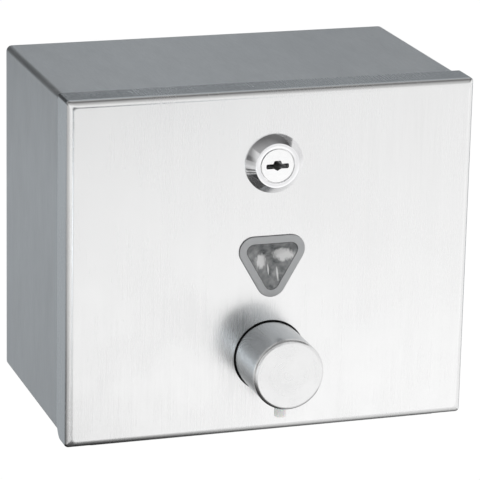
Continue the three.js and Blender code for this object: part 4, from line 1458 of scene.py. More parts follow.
@dataclass
class FrontPanel:
    """The satin front: a shallow folded tray with three holes, and studs welded to its back."""

    finishes: Finishes
    width: float = 184.0
    height: float = 155.0
    depth: float = 16.0
    corner: float = 1.6
    fold: float = 3.3
    corner_cut: float = 9.0
    window_side: float = 16.7
    window_radius: float = 5.2
    lock_radius: float = 9.8
    knob_radius: float = 16.4
    stud_radius: float = 1.5
    stud_tip: float = 1.0
    stud_root: float = 0.3
    nut_across: float = 5.5
    nut_height: float = 2.4
    valve_clamped: float = 3.5
    strap_clamped: float = 1.2

    def tray(self) -> Piece:
        """Builds the folded sheet.

        Returns:
            The piece.
        """
        draft = Draft()
        end = FRONT_Y + self.depth

        def ring(inset: float, y: float, skin: float = 0) -> list[int]:
            """Draws the fold at one depth, outside or, with the sheet's skin, inside."""
            width, height = self.width - 2 * (inset + skin), self.height - 2 * (inset + skin)
            return draft.ring(rectangle(width, height, self.corner - skin), Plane.FRONT, y)

        outside = [ring(inset, FRONT_Y + along) for inset, along in bend(self.fold, 12)]
        inside = [ring(inset, PANEL_BACK_Y + along, SHEET) for inset, along in bend(self.fold - SHEET, 8)]
        draft.skin([*outside, ring(0, end), ring(0, end, SHEET), *reversed(inside)])
        holes = [
            triangle(self.window_side, self.window_radius, (0, WINDOW_Z)),
            circle(self.lock_radius, 72, (0, LOCK_Z)),
            circle(self.knob_radius, 96, (0, KNOB_Z)),
        ]
        near, far = draft.walls(holes, Plane.FRONT, FRONT_Y, PANEL_BACK_Y)
        draft.cap(outside[0], near)
        draft.cap(inside[0], far)
        piece = draft.close("front_sheet")
        low, size = -self.height / 2, self.corner_cut
        curve = arc(size, 270, 90, 12, (end - size, low + size))
        corner = [*curve, (end + 1, low + size), (end + 1, low - 1), (end - size, low - 1)]
        for side in (-1, 1):
            reach = sorted((side * (self.width / 2 - 2.5), side * (self.width / 2 + 1)))
            cut(piece, corner, Plane.SIDE, *reach)
        return soften(piece, 0.12)

    def studs(self, name: str, points: Outline, clamped: float) -> Piece:
        """Builds threaded weld studs with a tree of nodes.

        Args:
            name: The piece's name.
            points: The studs' places.
            clamped: The thickness that each stud clamps.

        Returns:
            The piece.
        """
        tree = Tree(name)
        length = tree.size("Length", clamped + self.nut_height + self.stud_tip + self.stud_root)
        radius = tree.size("Radius", self.stud_radius)
        pitch = tree.size("Pitch", 0.5)
        depth = tree.size("Thread depth", 0.16)
        end = tree.node("ShaderNodeCombineXYZ", {"Y": length})
        line = tree.node("GeometryNodeCurvePrimitiveLine", {"End": end.outputs[0]})
        halves = tree.math("CEIL", tree.math("DIVIDE", tree.math("MULTIPLY", length, 2.0), pitch))
        path = tree.node("GeometryNodeResampleCurve", {"Curve": line.outputs[0], "Count": halves})
        odd = tree.math("MODULO", tree.node("GeometryNodeInputIndex").outputs[0], 2.0)
        reach = tree.math("SUBTRACT", radius, tree.math("MULTIPLY", odd, depth))
        shaped = tree.node("GeometryNodeSetCurveRadius", {"Curve": path.outputs[0], "Radius": reach})
        rod = tree.sweep(shaped.outputs[0], 1.0, 20)
        if "Scale" in rod.inputs:
            tree.links.new(reach, rod.inputs["Scale"])
        hosts = [Vector((x, PANEL_BACK_Y - self.stud_root, z)) for x, z in points]
        made = tree.run(tree.copies(rod.outputs[0]), self.finishes.made["zinc_steel"], hosts)
        smooth(made, 40)
        return made

    def nuts(self, name: str, points: Outline, clamped: float) -> Piece:
        """Sets a nut out on each stud.

        Args:
            name: The piece's name.
            points: The studs' places.
            clamped: The thickness between the panel and the nuts.

        Returns:
            The piece.
        """
        pattern = hexagon_nut("nut", self.nut_across, (0, self.nut_height), self.stud_radius + 0.1)
        places = [Vector((x, PANEL_BACK_Y + clamped, z)) for x, z in points]
        return set_out(name, pattern, places, self.finishes.made["zinc_steel"], 22)

    def build(self) -> None:
        """Builds and hands over every piece."""
        give = self.finishes.hand_over
        give(self.tray(), "panel_steel", "front", "front_panel")
        signs = ((1, 1), (-1, 1), (-1, -1), (1, -1))
        valve = [(i * VALVE_STUDS, KNOB_Z + k * VALVE_STUDS) for i, k in signs]
        strap = [(i * STRAP_X, z) for i in (-1, 1) for z in STRAP_STUDS]
        for kind, points, clamped in (
            ("valve", valve, self.valve_clamped),
            ("strap", strap, self.strap_clamped),
        ):
            give(self.studs(f"{kind}_studs", points, clamped), "zinc_steel", "front", "front_panel")
            nodes = [f"{kind}_nut_{i}" for i in range(1, 5)]
            give(self.nuts(f"{kind}_nuts", points, clamped), "zinc_steel", "front", *nodes)


# --- Cam lock ---


@dataclass
class CamLock:
    """The cam lock: a conical housing, its nut and washer, and the plug that turns the cam."""

    finishes: Finishes
    bezel: float = 13.2
    ring: float = 9.85
    proud: float = 4.8
    rim: float = 0.5
    plug: float = 8.4
    bore: float = 8.7
    step: float = 0.9
    barrel: float = 9.5
    barrel_back: float = -101.2
    washer: Flat = (9.8, 12.6)
    washer_thickness: float = 1.0
    nut_across: float = 24.0
    nut_height: float = 4.0
    cam_front: float = -100.6
    cam_thickness: float = 1.6
    cam_reach: float = 26.0
    cam_width: float = 13.0
    tail: float = 7.0
    keyway_depth: float = 11.0
    disc: Flat = (1.9, 6.0)
    disc_thickness: float = 0.8
    screw_radius: float = 1.6
    screw_head: Flat = (3.6, 2.2)

    def housing(self) -> Piece:
        """Turns the housing, with its thread behind the panel.

        Returns:
            The piece.
        """
        face, back = FRONT_Y - self.proud, self.barrel_back
        mouth, ledge = self.bore - self.step, face + self.step
        corners = [
            (mouth, face), (self.ring, face), (self.bezel, FRONT_Y - self.rim), (self.bezel, FRONT_Y),
            (self.barrel, FRONT_Y), (self.barrel, back), (self.bore, back), (self.bore, ledge),
            (mouth, ledge),
        ]
        front = rounded(corners, [0.12, 0.35, 0.3, 0.1, 0, 0.3, 0.1, 0.1, 0.1], 5)
        split = next(i for i, (r, y) in enumerate(front) if abs(r - self.barrel) < WELD and y == FRONT_Y)
        ridges = thread(self.barrel, PANEL_BACK_Y + 0.4, back - 0.9, 1.0, 0.28)
        profile = [*front[: split + 1], *ridges, *front[split + 1 :]]
        return turned_blank("lock_bezel", profile, Plane.FRONT, (0, LOCK_Z), 96, 24)

    def keyway(self) -> list[Flat]:
        """Draws the key's slot: flat and wide, with a low dome above its middle and a notch below.

        Returns:
            The outline.
        """
        corners = [
            (-5.1, -1.25), (-1.6, -1.25), (0, -2.2), (1.6, -1.25), (5.1, -1.25), (5.1, 0.9),
            (1.9, 0.9), (1.5, 2.3), (-1.5, 2.3), (-1.9, 0.9), (-5.1, 0.9),
        ]
        radii = [0.6, 0.2, 0.2, 0.2, 0.6, 0.6, 0.2, 0.9, 0.9, 0.2, 0.6]
        return [(x, LOCK_Z + z) for x, z in rounded(corners, radii, 4)]

    def plug_piece(self) -> Piece:
        """Builds the plug, with painted shade deep down its keyway.

        Returns:
            The piece.
        """
        face, back = FRONT_Y - self.proud, self.barrel_back
        draft = Draft()
        small, ledge = self.plug - self.step - 0.1, face + self.step + 0.2
        edge = [(small - 0.2, face), (small - 0.06, face + 0.06), (small, face + 0.2)]
        profile = [*edge, (small, ledge), (self.plug, ledge), (self.plug, back)]
        rings = [draft.ring(circle(r, 96, (0, LOCK_Z)), Plane.FRONT, y) for r, y in profile]
        draft.skin(rings)
        draft.cap(rings[-1])
        slot = self.keyway()
        pit = [draft.ring(slot, Plane.FRONT, face + y) for y in (0, 2.4, 4.2, self.keyway_depth)]
        draft.skin(pit)
        draft.cap(rings[0], [pit[0]])
        draft.cap(pit[-1])
        square = rectangle(self.tail, self.tail, 0.4, (0, LOCK_Z))
        draft.plate(square, Plane.FRONT, back - 0.01, self.cam_front + self.cam_thickness)
        piece = soften(draft.close("lock_core_plug"), 0.1)
        # Painted shade deep in the keyway: its walls more than 3 mm in are marked for a near-black colour
        grime = piece.data.attributes.new("grime", "FLOAT", "POINT")
        for i, vertex in enumerate(piece.data.vertices):
            x, y, z = (value / MM for value in vertex.co)
            inside = abs(x) < 3.4 and abs(z - LOCK_Z) < 3
            grime.data[i].value = 1.0 if inside and face + 3 < y < back - 1 else 0.0
        return piece

    def cam(self) -> Piece:
        """Builds the cam with its square hole.

        Returns:
            The piece.
        """
        half, reach = self.cam_width / 2, self.cam_reach
        low, high = LOCK_Z - half, LOCK_Z + half
        arm = arc(half, 90, 180, 32, (0, LOCK_Z))
        tip = rounded([(0, low), (reach, low), (reach, high), (0, high)], [0, 2.0, 2.0, 0], 6)
        hole = rectangle(self.tail + 0.5, self.tail + 0.5, 0.3, (0, LOCK_Z))
        span = (self.cam_front, self.cam_front + self.cam_thickness)
        return plate_piece("cam_arm", [*arm, *tip[1:-1]], Plane.FRONT, span, [hole], 0.25)

    def screw(self) -> Piece:
        """Builds the screw that holds the cam.

        Returns:
            The piece.
        """
        back = self.cam_front + self.cam_thickness
        radius, seat = self.screw_radius, back + self.disc_thickness
        wide, high = self.screw_head
        head = seat + high
        shank = thread(radius, back - 5.6, seat - 0.3, 0.6, 0.2)
        profile = [(0, back - 6), (radius - 0.3, back - 6), *shank, (radius, seat)]
        profile += [(wide, seat), (wide, seat + 1.2), (3.4, seat + 1.6), (2.9, seat + 1.95)]
        profile += [(2.0, head), (0, head)]
        piece = turned_blank("cam_bolt", profile, Plane.FRONT, (0, LOCK_Z), 40)
        cut(piece, rectangle(9, 1.1, 0.1, (0, LOCK_Z)), Plane.FRONT, head - high / 2, head + 1)
        return soften(piece, 0.1)

    def build(self) -> None:
        """Builds and hands over every piece."""
        give = self.finishes.hand_over
        axis = (0, LOCK_Z)
        give(self.housing(), "lock_chrome", "front", "lock_housing")
        back = PANEL_BACK_Y + self.washer_thickness
        washer = turned_piece("bezel_washer", tube(*self.washer, PANEL_BACK_Y, back), Plane.FRONT, axis)
        give(washer, "zinc_steel", "front", "lock_washer")
        span = (back, back + self.nut_height)
        nut = hexagon_nut("bezel_nut", self.nut_across, span, self.barrel + 0.15, axis)
        give(nut, "zinc_steel", "front", "lock_nut")
        give(self.plug_piece(), "plug_chrome", "lock_core", "lock_plug")
        give(self.cam(), "zinc_steel", "lock_core", "lock_cam")
        seat = self.cam_front + self.cam_thickness
        disc = tube(*self.disc, seat, seat + self.disc_thickness)
        give(turned_piece("cam_disc", disc, Plane.FRONT, axis), "zinc_steel", "lock_core", "cam_washer")
        give(self.screw(), "zinc_steel", "lock_core", "cam_screw")


# --- Sight window ---


@dataclass
class SightWindow:
    """The sight window: a clear three-cornered moulding with a gasket and a retainer behind the panel."""

    finishes: Finishes
    side: float = 16.7
    rim: float = 6.7
    recess: float = 3.3
    shank: float = 4.9
    proud: float = 0.9
    depth: float = 6.0
    floor: float = 1.3

    def lens(self) -> Piece:
        """Builds the moulding, whose recess narrows to a small triangle.

        Returns:
            The piece.
        """
        draft = Draft()
        bottom, top = self.depth - self.floor, -self.proud
        sizes = (
            (1.2, 0.4, bottom),
            (1.8, 0.45, bottom - 0.15),
            (self.side - 0.5, self.recess - 0.15, top + 0.25),
            (self.side, self.recess, top + 0.08),
            (self.side, self.recess + 0.15, top),
            (self.side, self.rim - 0.55, top),
            (self.side, self.rim - 0.2, top + 0.12),
            (self.side, self.rim - 0.05, top + 0.35),
            (self.side, self.rim, -0.3),
            (self.side, self.rim, -0.04),
            (self.side, self.shank, -0.04),
            (self.side, self.shank, self.depth - 0.2),
            (self.side, self.shank - 0.2, self.depth),
        )
        rings = [
            draft.ring(triangle(side, radius, (0, WINDOW_Z)), Plane.FRONT, FRONT_Y + y)
            for side, radius, y in sizes
        ]
        draft.skin(rings)
        draft.cap(rings[0])
        draft.cap(rings[-1])
        piece = draft.close("window_moulding", sharp=26)
        # Painted shade: ink draws a painted shadow along the rim's outer edge and a painted dark reflection
        # along the recess's edge
        paint = {"frost": range(4, 11), "ink": (3, 7, 8, 9)}
        for name, painted in paint.items():
            spots = [draft.points[k] for i in painted for k in rings[i]]
            places = {tuple(round(value, 3) for value in spot) for spot in spots}
            layer = piece.data.attributes.new(name, "FLOAT", "POINT")
            for i, vertex in enumerate(piece.data.vertices):
                place = tuple(round(value / MM, 3) for value in vertex.co)
                layer.data[i].value = 1.0 if place in places else 0.0
        return piece

    def band(self, name: str, radius: float, start: float, end: float, edge: float) -> Piece:
        """Builds a flat ring round the moulding's shank.

        Args:
            name: The piece's name.
            radius: The radius of its outer corners.
            start: Where it begins behind the panel's face.
            end: Where it ends.
            edge: The round on its edges.

        Returns:
            The piece.
        """
        hole = triangle(self.side, self.shank + 0.3, (0, WINDOW_Z))
        outline = triangle(self.side, radius, (0, WINDOW_Z))
        return plate_piece(name, outline, Plane.FRONT, (FRONT_Y + start, FRONT_Y + end), [hole], edge)

    def build(self) -> None:
        """Builds and hands over every piece."""
        give = self.finishes.hand_over
        give(self.lens(), "clear_plastic", "front", "window_lens")
        give(self.band("window_seal", self.rim, 0.8, 1.8, 0.3), "rubber", "front", "window_gasket")
        give(self.band("window_clip", 8.0, 1.8, 2.8, 0.2), "zinc_steel", "front", "window_retainer")


# --- Push valve ---


@dataclass
class PushValve:
    """The push knob with its nozzle, and the pump behind it."""

    finishes: Finishes
    knob: float = 15.8
    reach: float = 27.6
    wall: float = 1.4
    face: float = 2.0
    rim: float = 1.5
    skirt: float = 3.3
    nozzle: float = 2.6
    nozzle_drop: float = 6.5
    nozzle_y: float = -129.4
    slack: float = 0.3
    guide: Flat = (15.95, 16.25)
    wall_front: float = 13.8
    wall_back: float = 15.8
    cup: Flat = (16.2, 17.8)
    barrel: float = 9.5
    bore: float = 7.8
    barrel_end: float = 53.0
    nut_places: Flat = (19.5, 23.5)
    inlet_y: float = -50.0
    elbow_z: float = KNOB_Z - 12.1
    intake_z: float = -64.5
    ball: float = 3.0
    flange: float = 38.0
    flange_corner: float = 5.0
    flange_front: float = 2.3
    flange_back: float = 4.3
    stem: float = 3.5
    stem_end: float = 20.9
    wire: float = 0.55
    spring_start: float = 23.45
    spring_length: float = 23.3
    axis: Flat = (0, KNOB_Z)

    def profile(self, points: Outline, radii: float | Sequence[float] = 0, steps: int = 4) -> list[Flat]:
        """Rounds a profile whose places count from the panel's face, and moves it there."""
        return [(r, FRONT_Y + y) for r, y in rounded(points, radii, steps)]

    def drill(self, piece: Piece, radius: float, start: float, end: float, steps: int = 48) -> None:
        """Cuts a round hole on the knob's axis, between places that count from the panel's face."""
        cut(piece, circle(radius, steps, self.axis), Plane.FRONT, FRONT_Y + start, FRONT_Y + end)

    def stud_holes(self) -> list[list[Flat]]:
        """Draws the flange's four holes for the studs."""
        places = [(i * VALVE_STUDS, KNOB_Z + k * VALVE_STUDS) for i in (-1, 1) for k in (-1, 1)]
        return [circle(STUD_HOLE, 20, place) for place in places]

    def cap(self) -> Piece:
        """Builds the knob with the nozzle's hole underneath.

        Returns:
            The piece.
        """
        inner, face = self.knob - self.wall, -self.reach
        points = [(0, face), (self.knob, face), (self.knob, self.skirt), (inner, self.skirt)]
        points += [(inner, face + self.face), (0, face + self.face)]
        profile = self.profile(points, [0, self.rim, 0.3, 0.3, 0.8, 0], 8)
        piece = turned_blank("knob_cap", profile, Plane.FRONT, self.axis, 128)
        hole = circle(self.nozzle + self.slack, 48, (0, self.nozzle_y))
        cut(piece, hole, Plane.TOP, KNOB_Z - self.knob - 3, KNOB_Z - 5)
        return soften(piece, 0.12)

    def collar(self) -> Piece:
        """Builds the black collar that the knob slides in.

        Returns:
            The piece.
        """
        draft = Draft()
        outline = rectangle(self.flange, self.flange, self.flange_corner, self.axis)
        inner, outer = self.guide
        rim = [(outer, SHEET), (outer, -0.15), (outer - 0.1, -0.3), (inner + 0.1, -0.3), (inner, -0.15)]
        rim.append((inner, self.flange_front))
        rings = [draft.ring(circle(r, 96, self.axis), Plane.FRONT, FRONT_Y + y) for r, y in rim]
        draft.skin(rings)
        start, end = FRONT_Y + SHEET, FRONT_Y + self.flange_front
        near = draft.ring(outline, Plane.FRONT, start)
        far = draft.ring(outline, Plane.FRONT, end)
        draft.bridge(near, far)
        before, behind = draft.walls(self.stud_holes(), Plane.FRONT, start, end)
        draft.cap(near, [rings[0], *before])
        draft.cap(far, [rings[-1], *behind])
        return soften(draft.close("knob_guide"), 0.12)

    def body(self) -> Piece:
        """Builds the valve's body: a flange, a cup and a barrel with its thread.

        Returns:
            The piece.
        """
        start, end = FRONT_Y + self.flange_front, FRONT_Y + self.barrel_end
        flange = rectangle(self.flange, self.flange, self.flange_corner, self.axis)
        draft = Draft()
        draft.plate(flange, Plane.FRONT, start, FRONT_Y + self.flange_back)
        piece = draft.close("pump_body")
        hollow, wide = self.cup
        ridges = thread(self.barrel, self.nut_places[0], 26.0, 1.5, 0.3)
        side = [(wide, self.flange_front), (wide, self.wall_back), (self.barrel, self.wall_back), *ridges]
        side = self.profile([*side, (self.barrel, self.barrel_end)])
        outer = Draft()
        outer.turned([(0, start), *side, (0, end)], Plane.FRONT, self.axis, 72)
        carve(piece, outer, add=True)
        self.drill(piece, hollow, 0, self.wall_front, 72)
        self.drill(piece, self.stem + self.slack, 10, 20, 32)
        self.drill(piece, self.bore, self.wall_back, self.barrel_end + 7, 64)
        for hole in self.stud_holes():
            cut(piece, hole, Plane.FRONT, FRONT_Y, FRONT_Y + 6)
        return soften(piece, 0.15)

    def stem_piece(self) -> Piece:
        """Builds the stem with its bore and the socket for the nozzle.

        Returns:
            The piece.
        """
        seat, nut = self.face - self.reach, 5.5
        points = [(0, seat), (11, seat), (11, seat + 2), (nut, seat + 2), (nut, -11), (self.stem, -11)]
        points += [(self.stem, self.stem_end), (0, self.stem_end)]
        profile = self.profile(points, [0, 0.3, 0.3, 0.6, 0.5, 0.3, 0.3, 0])
        piece = turned_blank("pump_stem", profile, Plane.FRONT, self.axis, 48)
        self.drill(piece, 2.2, self.nozzle_y - FRONT_Y, 30, 32)
        socket = circle(self.nozzle + self.slack, 32, (0, self.nozzle_y))
        cut(piece, socket, Plane.TOP, KNOB_Z - 8, KNOB_Z)
        return soften(piece, 0.12)

    def spout(self) -> Piece:
        """Builds the nozzle.

        Returns:
            The piece.
        """
        low, high = KNOB_Z - self.knob - self.nozzle_drop, KNOB_Z - 2.6
        profile = rounded(tube(1.4, self.nozzle, low, high), [0.25, 0.35, 0.1, 0.1], 5)
        return turned_piece("spout", profile, Plane.TOP, (0, self.nozzle_y), 0.05, 48)

    def spring(self) -> Piece:
        """Winds the return spring with a tree of nodes.

        Returns:
            The piece.
        """
        tree = Tree("coil_spring")
        wire = tree.size("Wire radius", self.wire)
        radius = tree.size("Coil radius", 6.0)
        sizes = {
            "Resolution": tree.size("Steps a turn", 36),
            "Rotations": tree.size("Turns", 7),
            "Start Radius": radius,
            "End Radius": radius,
            "Height": tree.size("Length", self.spring_length),
        }
        start = tree.size("Start", FRONT_Y + self.spring_start)
        coil = tree.node("GeometryNodeCurveSpiral", sizes)
        place = tree.node("ShaderNodeCombineXYZ", {"Y": start, "Z": tree.size("Axis height", KNOB_Z)})
        turned = tree.node(
            "GeometryNodeTransform",
            {"Geometry": coil.outputs[0], "Translation": place.outputs[0], "Rotation": (-math.pi / 2, 0, 0)},
        )
        rod = tree.sweep(turned.outputs[0], wire, 12)
        made = tree.run(rod.outputs[0], self.finishes.made["zinc_steel"])
        smooth(made, 50)
        return made

    def elbow(self) -> Piece:
        """Builds the inlet elbow at the back of the barrel.

        Returns:
            The piece.
        """
        end, inside = self.barrel_end, self.bore - self.slack
        points = [(0, end - 5.7), (inside, end - 5.7), (inside, end), (self.barrel, end)]
        points += [(self.barrel, end + 2), (6, end + 2), (6, end + 10), (0, end + 10)]
        plug = self.profile(points, [0, 0.4, 0, 0.2, 0.3, 0.4, 0, 0])
        piece = turned_blank("inlet_bend", plug, Plane.FRONT, self.axis, 56)
        chamber = Draft()
        dome = rounded(tube(0, 7, self.elbow_z, KNOB_Z + 7.5), [0, 0.4, 1.2, 0], 5)
        chamber.turned(dome, Plane.TOP, (0, self.inlet_y), 56)
        carve(piece, chamber, add=True)
        self.drill(piece, 3.0, end - 8, end + 10, 32)
        for radius, high in ((4.3, KNOB_Z + 4), (5.0, KNOB_Z - 5.7)):
            cut(piece, circle(radius, 48, (0, self.inlet_y)), Plane.TOP, self.elbow_z - 1.9, high)
        return soften(piece, 0.15)

    def intake(self) -> Piece:
        """Builds the intake tube with the notches at its foot.

        Returns:
            The piece.
        """
        middle, low = (0, self.inlet_y), self.intake_z
        piece = turned_blank("intake_pipe", tube(2.4, 4, low, self.elbow_z), Plane.TOP, middle, 48)
        for size in ((12, 2), (2, 12)):
            cut(piece, rectangle(*size, 0.2, middle), Plane.TOP, low - 2, low + 2)
        return soften(piece, 0.12)

    def turned_parts(self) -> None:
        """Turns the piston, the seals and the valve on the knob's axis, and hands them over."""
        piston = [(3.8, 16.1), (7.3, 16.1), (7.3, 18.35), (5.9, 18.35), (5.9, 20.35), (7.3, 20.35)]
        piston += [(7.3, 22.6), (3.3, 22.6), (3.3, 21.4), (1.8, 21.4), (1.8, 21.2), (3.8, 21.2)]
        valve = [(0.6, 18.1), (1.5, 18.1), (1.5, 21.7), (3.0, 21.7), (3.0, 22.6), (0.6, 22.6)]
        seal, wiper = tube(6.2, 7.5, 18.65, 20.05), tube(3.8, 6.5, 12.3, self.wall_front)
        flat = tube(9.8, 15, self.wall_back, 17.3)
        for name, points, edge, slot, body, node in (
            ("pump_piston", piston, 0.1, "white_plastic", "plunger", "piston"),
            ("pump_ring", seal, 0.5, "rubber", "plunger", "piston_seal"),
            ("duckbill", valve, 0.15, "rubber", "plunger", "outlet_valve"),
            ("stem_ring", wiper, 0.35, "rubber", "front", "stem_seal"),
            ("tank_ring", flat, 0.4, "rubber", "front", "tank_gasket"),
        ):
            piece = turned_piece(name, self.profile(points), Plane.FRONT, self.axis, edge)
            self.finishes.hand_over(piece, slot, body, node)

    def check_valve(self) -> None:
        """Builds the inlet's seat and its ball, and hands them over."""
        give = self.finishes.hand_over
        low, middle = self.elbow_z, (0, self.inlet_y)
        seat = [(2.2, low), (4.7, low), (4.7, low + 6.1), (3.3, low + 6.1), (2.2, low + 4.4)]
        ring = turned_piece("ball_seat", seat, Plane.TOP, middle, 0.1, 48)
        give(ring, "white_plastic", "front", "inlet_seat")
        low_corner, high_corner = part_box("inlet_ball")
        height = (low_corner[2] + high_corner[2]) / 2 / MM
        side = arc(self.ball, -90, 180, 24, (0, height))[1:-1]
        globe = [(0, height - self.ball), *side, (0, height + self.ball)]
        give(turned_blank("check_ball", globe, Plane.TOP, middle, 48), "ball_steel", "ball", "inlet_ball")

    def build(self) -> None:
        """Builds and hands over every piece."""
        give = self.finishes.hand_over
        give(self.cap(), "knob_steel", "plunger", "push_knob")
        give(self.spout(), "nozzle_plastic", "plunger", "nozzle")
        give(self.collar(), "black_plastic", "front", "knob_collar")
        give(self.body(), "white_plastic", "front", "valve_body")
        give(self.stem_piece(), "white_plastic", "plunger", "plunger_stem")
        self.turned_parts()
        start, end = self.nut_places
        nut = hexagon_nut("barrel_ring_nut", 26.0, (FRONT_Y + start, FRONT_Y + end), 9.65, self.axis)
        give(nut, "white_plastic", "front", "barrel_nut")
        spring = give(self.spring(), "zinc_steel", "front", "return_spring")
        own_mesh(spring)
        give(self.elbow(), "white_plastic", "front", "inlet_elbow")
        give(self.intake(), "white_plastic", "front", "intake_tube")
        self.check_valve()


# --- Tank ---


@dataclass
class Tank:
    """The soap tank with its filler neck, the hinged lid and the lid's gasket."""

    finishes: Finishes
    half: float = 77.0
    front: float = -95.7
    back: float = -14.6
    low: float = -68.0
    high: float = 19.5
    wall: float = 2.2
    corner: float = 8.0
    edge: float = 4.0
    mouth: Flat = (56.0, 34.0)
    mouth_y: float = -53.7
    neck: float = 2.0
    neck_top: float = 24.5
    axis: Flat = (-30.4, 27.05)
    ear: float = 3.0
    ear_places: Flat = (14.0, 18.0)
    lid_half: float = 1.25
    lid_margin: float = 4.0
    tab: Flat = (10.0, 3.0)
    knuckle: float = 2.6
    knuckle_half: float = 13.7
    pin_hole: float = 1.6
    pin: float = 1.3
    pin_half: float = 19.0

    def bottle(self, inset: float) -> Draft:
        """Drafts the tank's closed form.

        Args:
            inset: How far it is drawn in from the outside.

        Returns:
            The draft.
        """
        draft = Draft()
        width, depth = 2 * (self.half - inset), self.back - self.front - 2 * inset
        middle = (0, (self.front + self.back) / 2)
        low, high, edge = self.low + inset, self.high - inset, self.edge - inset

        def ring(shrink: float, z: float) -> list[int]:
            """Draws the form at one height, drawn in where its edge is round."""
            outline = rectangle(width - 2 * shrink, depth - 2 * shrink, self.corner - inset - shrink, middle)
            return draft.ring(outline, Plane.TOP, z)

        folds = bend(edge, 8)
        rings = [ring(shrink, low + along) for shrink, along in folds]
        rings += [ring(shrink, high - along) for shrink, along in reversed(folds)]
        draft.skin(rings)
        draft.cap(rings[0])
        draft.cap(rings[-1])
        return draft

    def vessel(self) -> Piece:
        """Builds the tank.

        Returns:
            The piece.
        """
        piece = self.bottle(0).close("soap_tank")
        carve(piece, self.bottle(self.wall))
        (width, depth), middle, foot = self.mouth, (0, self.mouth_y), self.high - 0.5
        neck = rectangle(width + 2 * self.neck, depth + 2 * self.neck, 8, middle)
        cut(piece, neck, Plane.TOP, foot, self.neck_top, add=True)
        (y, z), size = self.axis, self.ear
        ear = [(y - size, foot), (y + size, foot), *arc(size, 0, 180, 16, (y, z))]
        for side in (-1, 1):
            span = sorted(side * place for place in self.ear_places)
            cut(piece, ear, Plane.SIDE, *span, add=True)
        cut(piece, rectangle(width, depth, 6, middle), Plane.TOP, self.high - 4, self.neck_top + 2)
        hole = circle(9.8, 72, (0, KNOB_Z))
        cut(piece, hole, Plane.FRONT, self.front - 2, self.front + self.wall + 2)
        cut(piece, circle(self.pin_hole, 24, self.axis), Plane.SIDE, -30, 30)
        return soften(piece, 0.3)

    def lid(self) -> Piece:
        """Builds the lid with its thumb tab and its knuckle.

        Returns:
            The piece.
        """
        (y, z), half, margin = self.axis, self.lid_half, self.lid_margin
        front = self.mouth_y - self.mouth[1] / 2 - margin
        back = y - 3.3
        wide = self.mouth[0] / 2 + margin
        tab, tip = self.tab[0], front - self.tab[1]
        corners = [(wide, back), (-wide, back), (-wide, front), (-tab, front), (-tab, tip), (tab, tip)]
        outline = rounded([*corners, (tab, front), (wide, front)], [6, 6, 6, 1, 1.5, 1.5, 1, 6], 6)
        draft = Draft()
        draft.plate(outline, Plane.TOP, z - half, z + half)
        piece = draft.close("tank_lid")
        knuckle = [*arc(self.knuckle, -150, 300, 30, (y, z)), (back - 1, z + half), (back - 1, z - half)]
        cut(piece, knuckle, Plane.SIDE, -self.knuckle_half, self.knuckle_half, add=True)
        cut(piece, circle(self.pin_hole, 24, self.axis), Plane.SIDE, -20, 20)
        return soften(piece, 0.35)

    def build(self) -> None:
        """Builds and hands over every piece."""
        give = self.finishes.hand_over
        give(self.vessel(), "tank_plastic", "front", "tank")
        give(self.lid(), "white_plastic", "lid", "filler_lid")
        (width, depth), middle = self.mouth, (0, self.mouth_y)
        outline = rectangle(width + 2 * self.neck, depth + 2 * self.neck, 8, middle)
        hole = rectangle(width, depth, 6, middle)
        top = self.axis[1] - self.lid_half
        gasket = plate_piece("lid_seal", outline, Plane.TOP, (top - 1, top), [hole], 0.3)
        give(gasket, "rubber", "lid", "lid_gasket")
        rod = rounded(tube(0, self.pin, -self.pin_half, self.pin_half), [0, 0.3, 0.3, 0], 4)
        pin = turned_piece("lid_rod", rod, Plane.SIDE, self.axis, 0.05, 32)
        give(pin, "zinc_steel", "front", "lid_pin")


@dataclass
class Cradle:
    """The two straps that carry the tank and stop the front's tilt."""

    finishes: Finishes
    width: float = 22.0
    thickness: float = 1.2
    fold: float = 3.2
    under: float = -69.2
    back: float = -13.4
    foot_top: float = -47.0
    top: float = 47.4

    def strap(self, name: str, x: float) -> Piece:
        """Folds one strap.

        Args:
            name: The piece's name.
            x: The place of its middle.

        Returns:
            The piece.
        """
        front, back, t = PANEL_BACK_Y, self.back, self.thickness
        corners = [
            (front, self.foot_top), (front, self.under), (back, self.under), (back, self.top),
            (back - t, self.top), (back - t, self.under + t), (front + t, self.under + t),
            (front + t, self.foot_top),
        ]
        inner = self.fold - t
        outline = rounded(corners, [0, self.fold, self.fold, 0.3, 0.3, inner, inner, 0], 8)
        draft = Draft()
        draft.plate(outline, Plane.SIDE, x - self.width / 2, x + self.width / 2)
        piece = draft.close(name)
        for z in STRAP_STUDS:
            cut(piece, circle(STUD_HOLE, 20, (x, z)), Plane.FRONT, front - 2, front + t + 2)
        return soften(piece, 0.25)

    def build(self) -> None:
        """Builds and hands over both straps."""
        for name, x in (("left", -STRAP_X), ("right", STRAP_X)):
            strap = self.strap(f"strap_{name}", x)
            self.finishes.hand_over(strap, "zinc_steel", "front", f"cradle_strap_{name}")


# --- Studio ---


class Ray(Enum):
    """The kinds of ray that a stage material can tell apart."""

    CAMERA = "Is Camera Ray"
    GLOSSY = "Is Glossy Ray"
    CLEAR = "Is Transmission Ray"


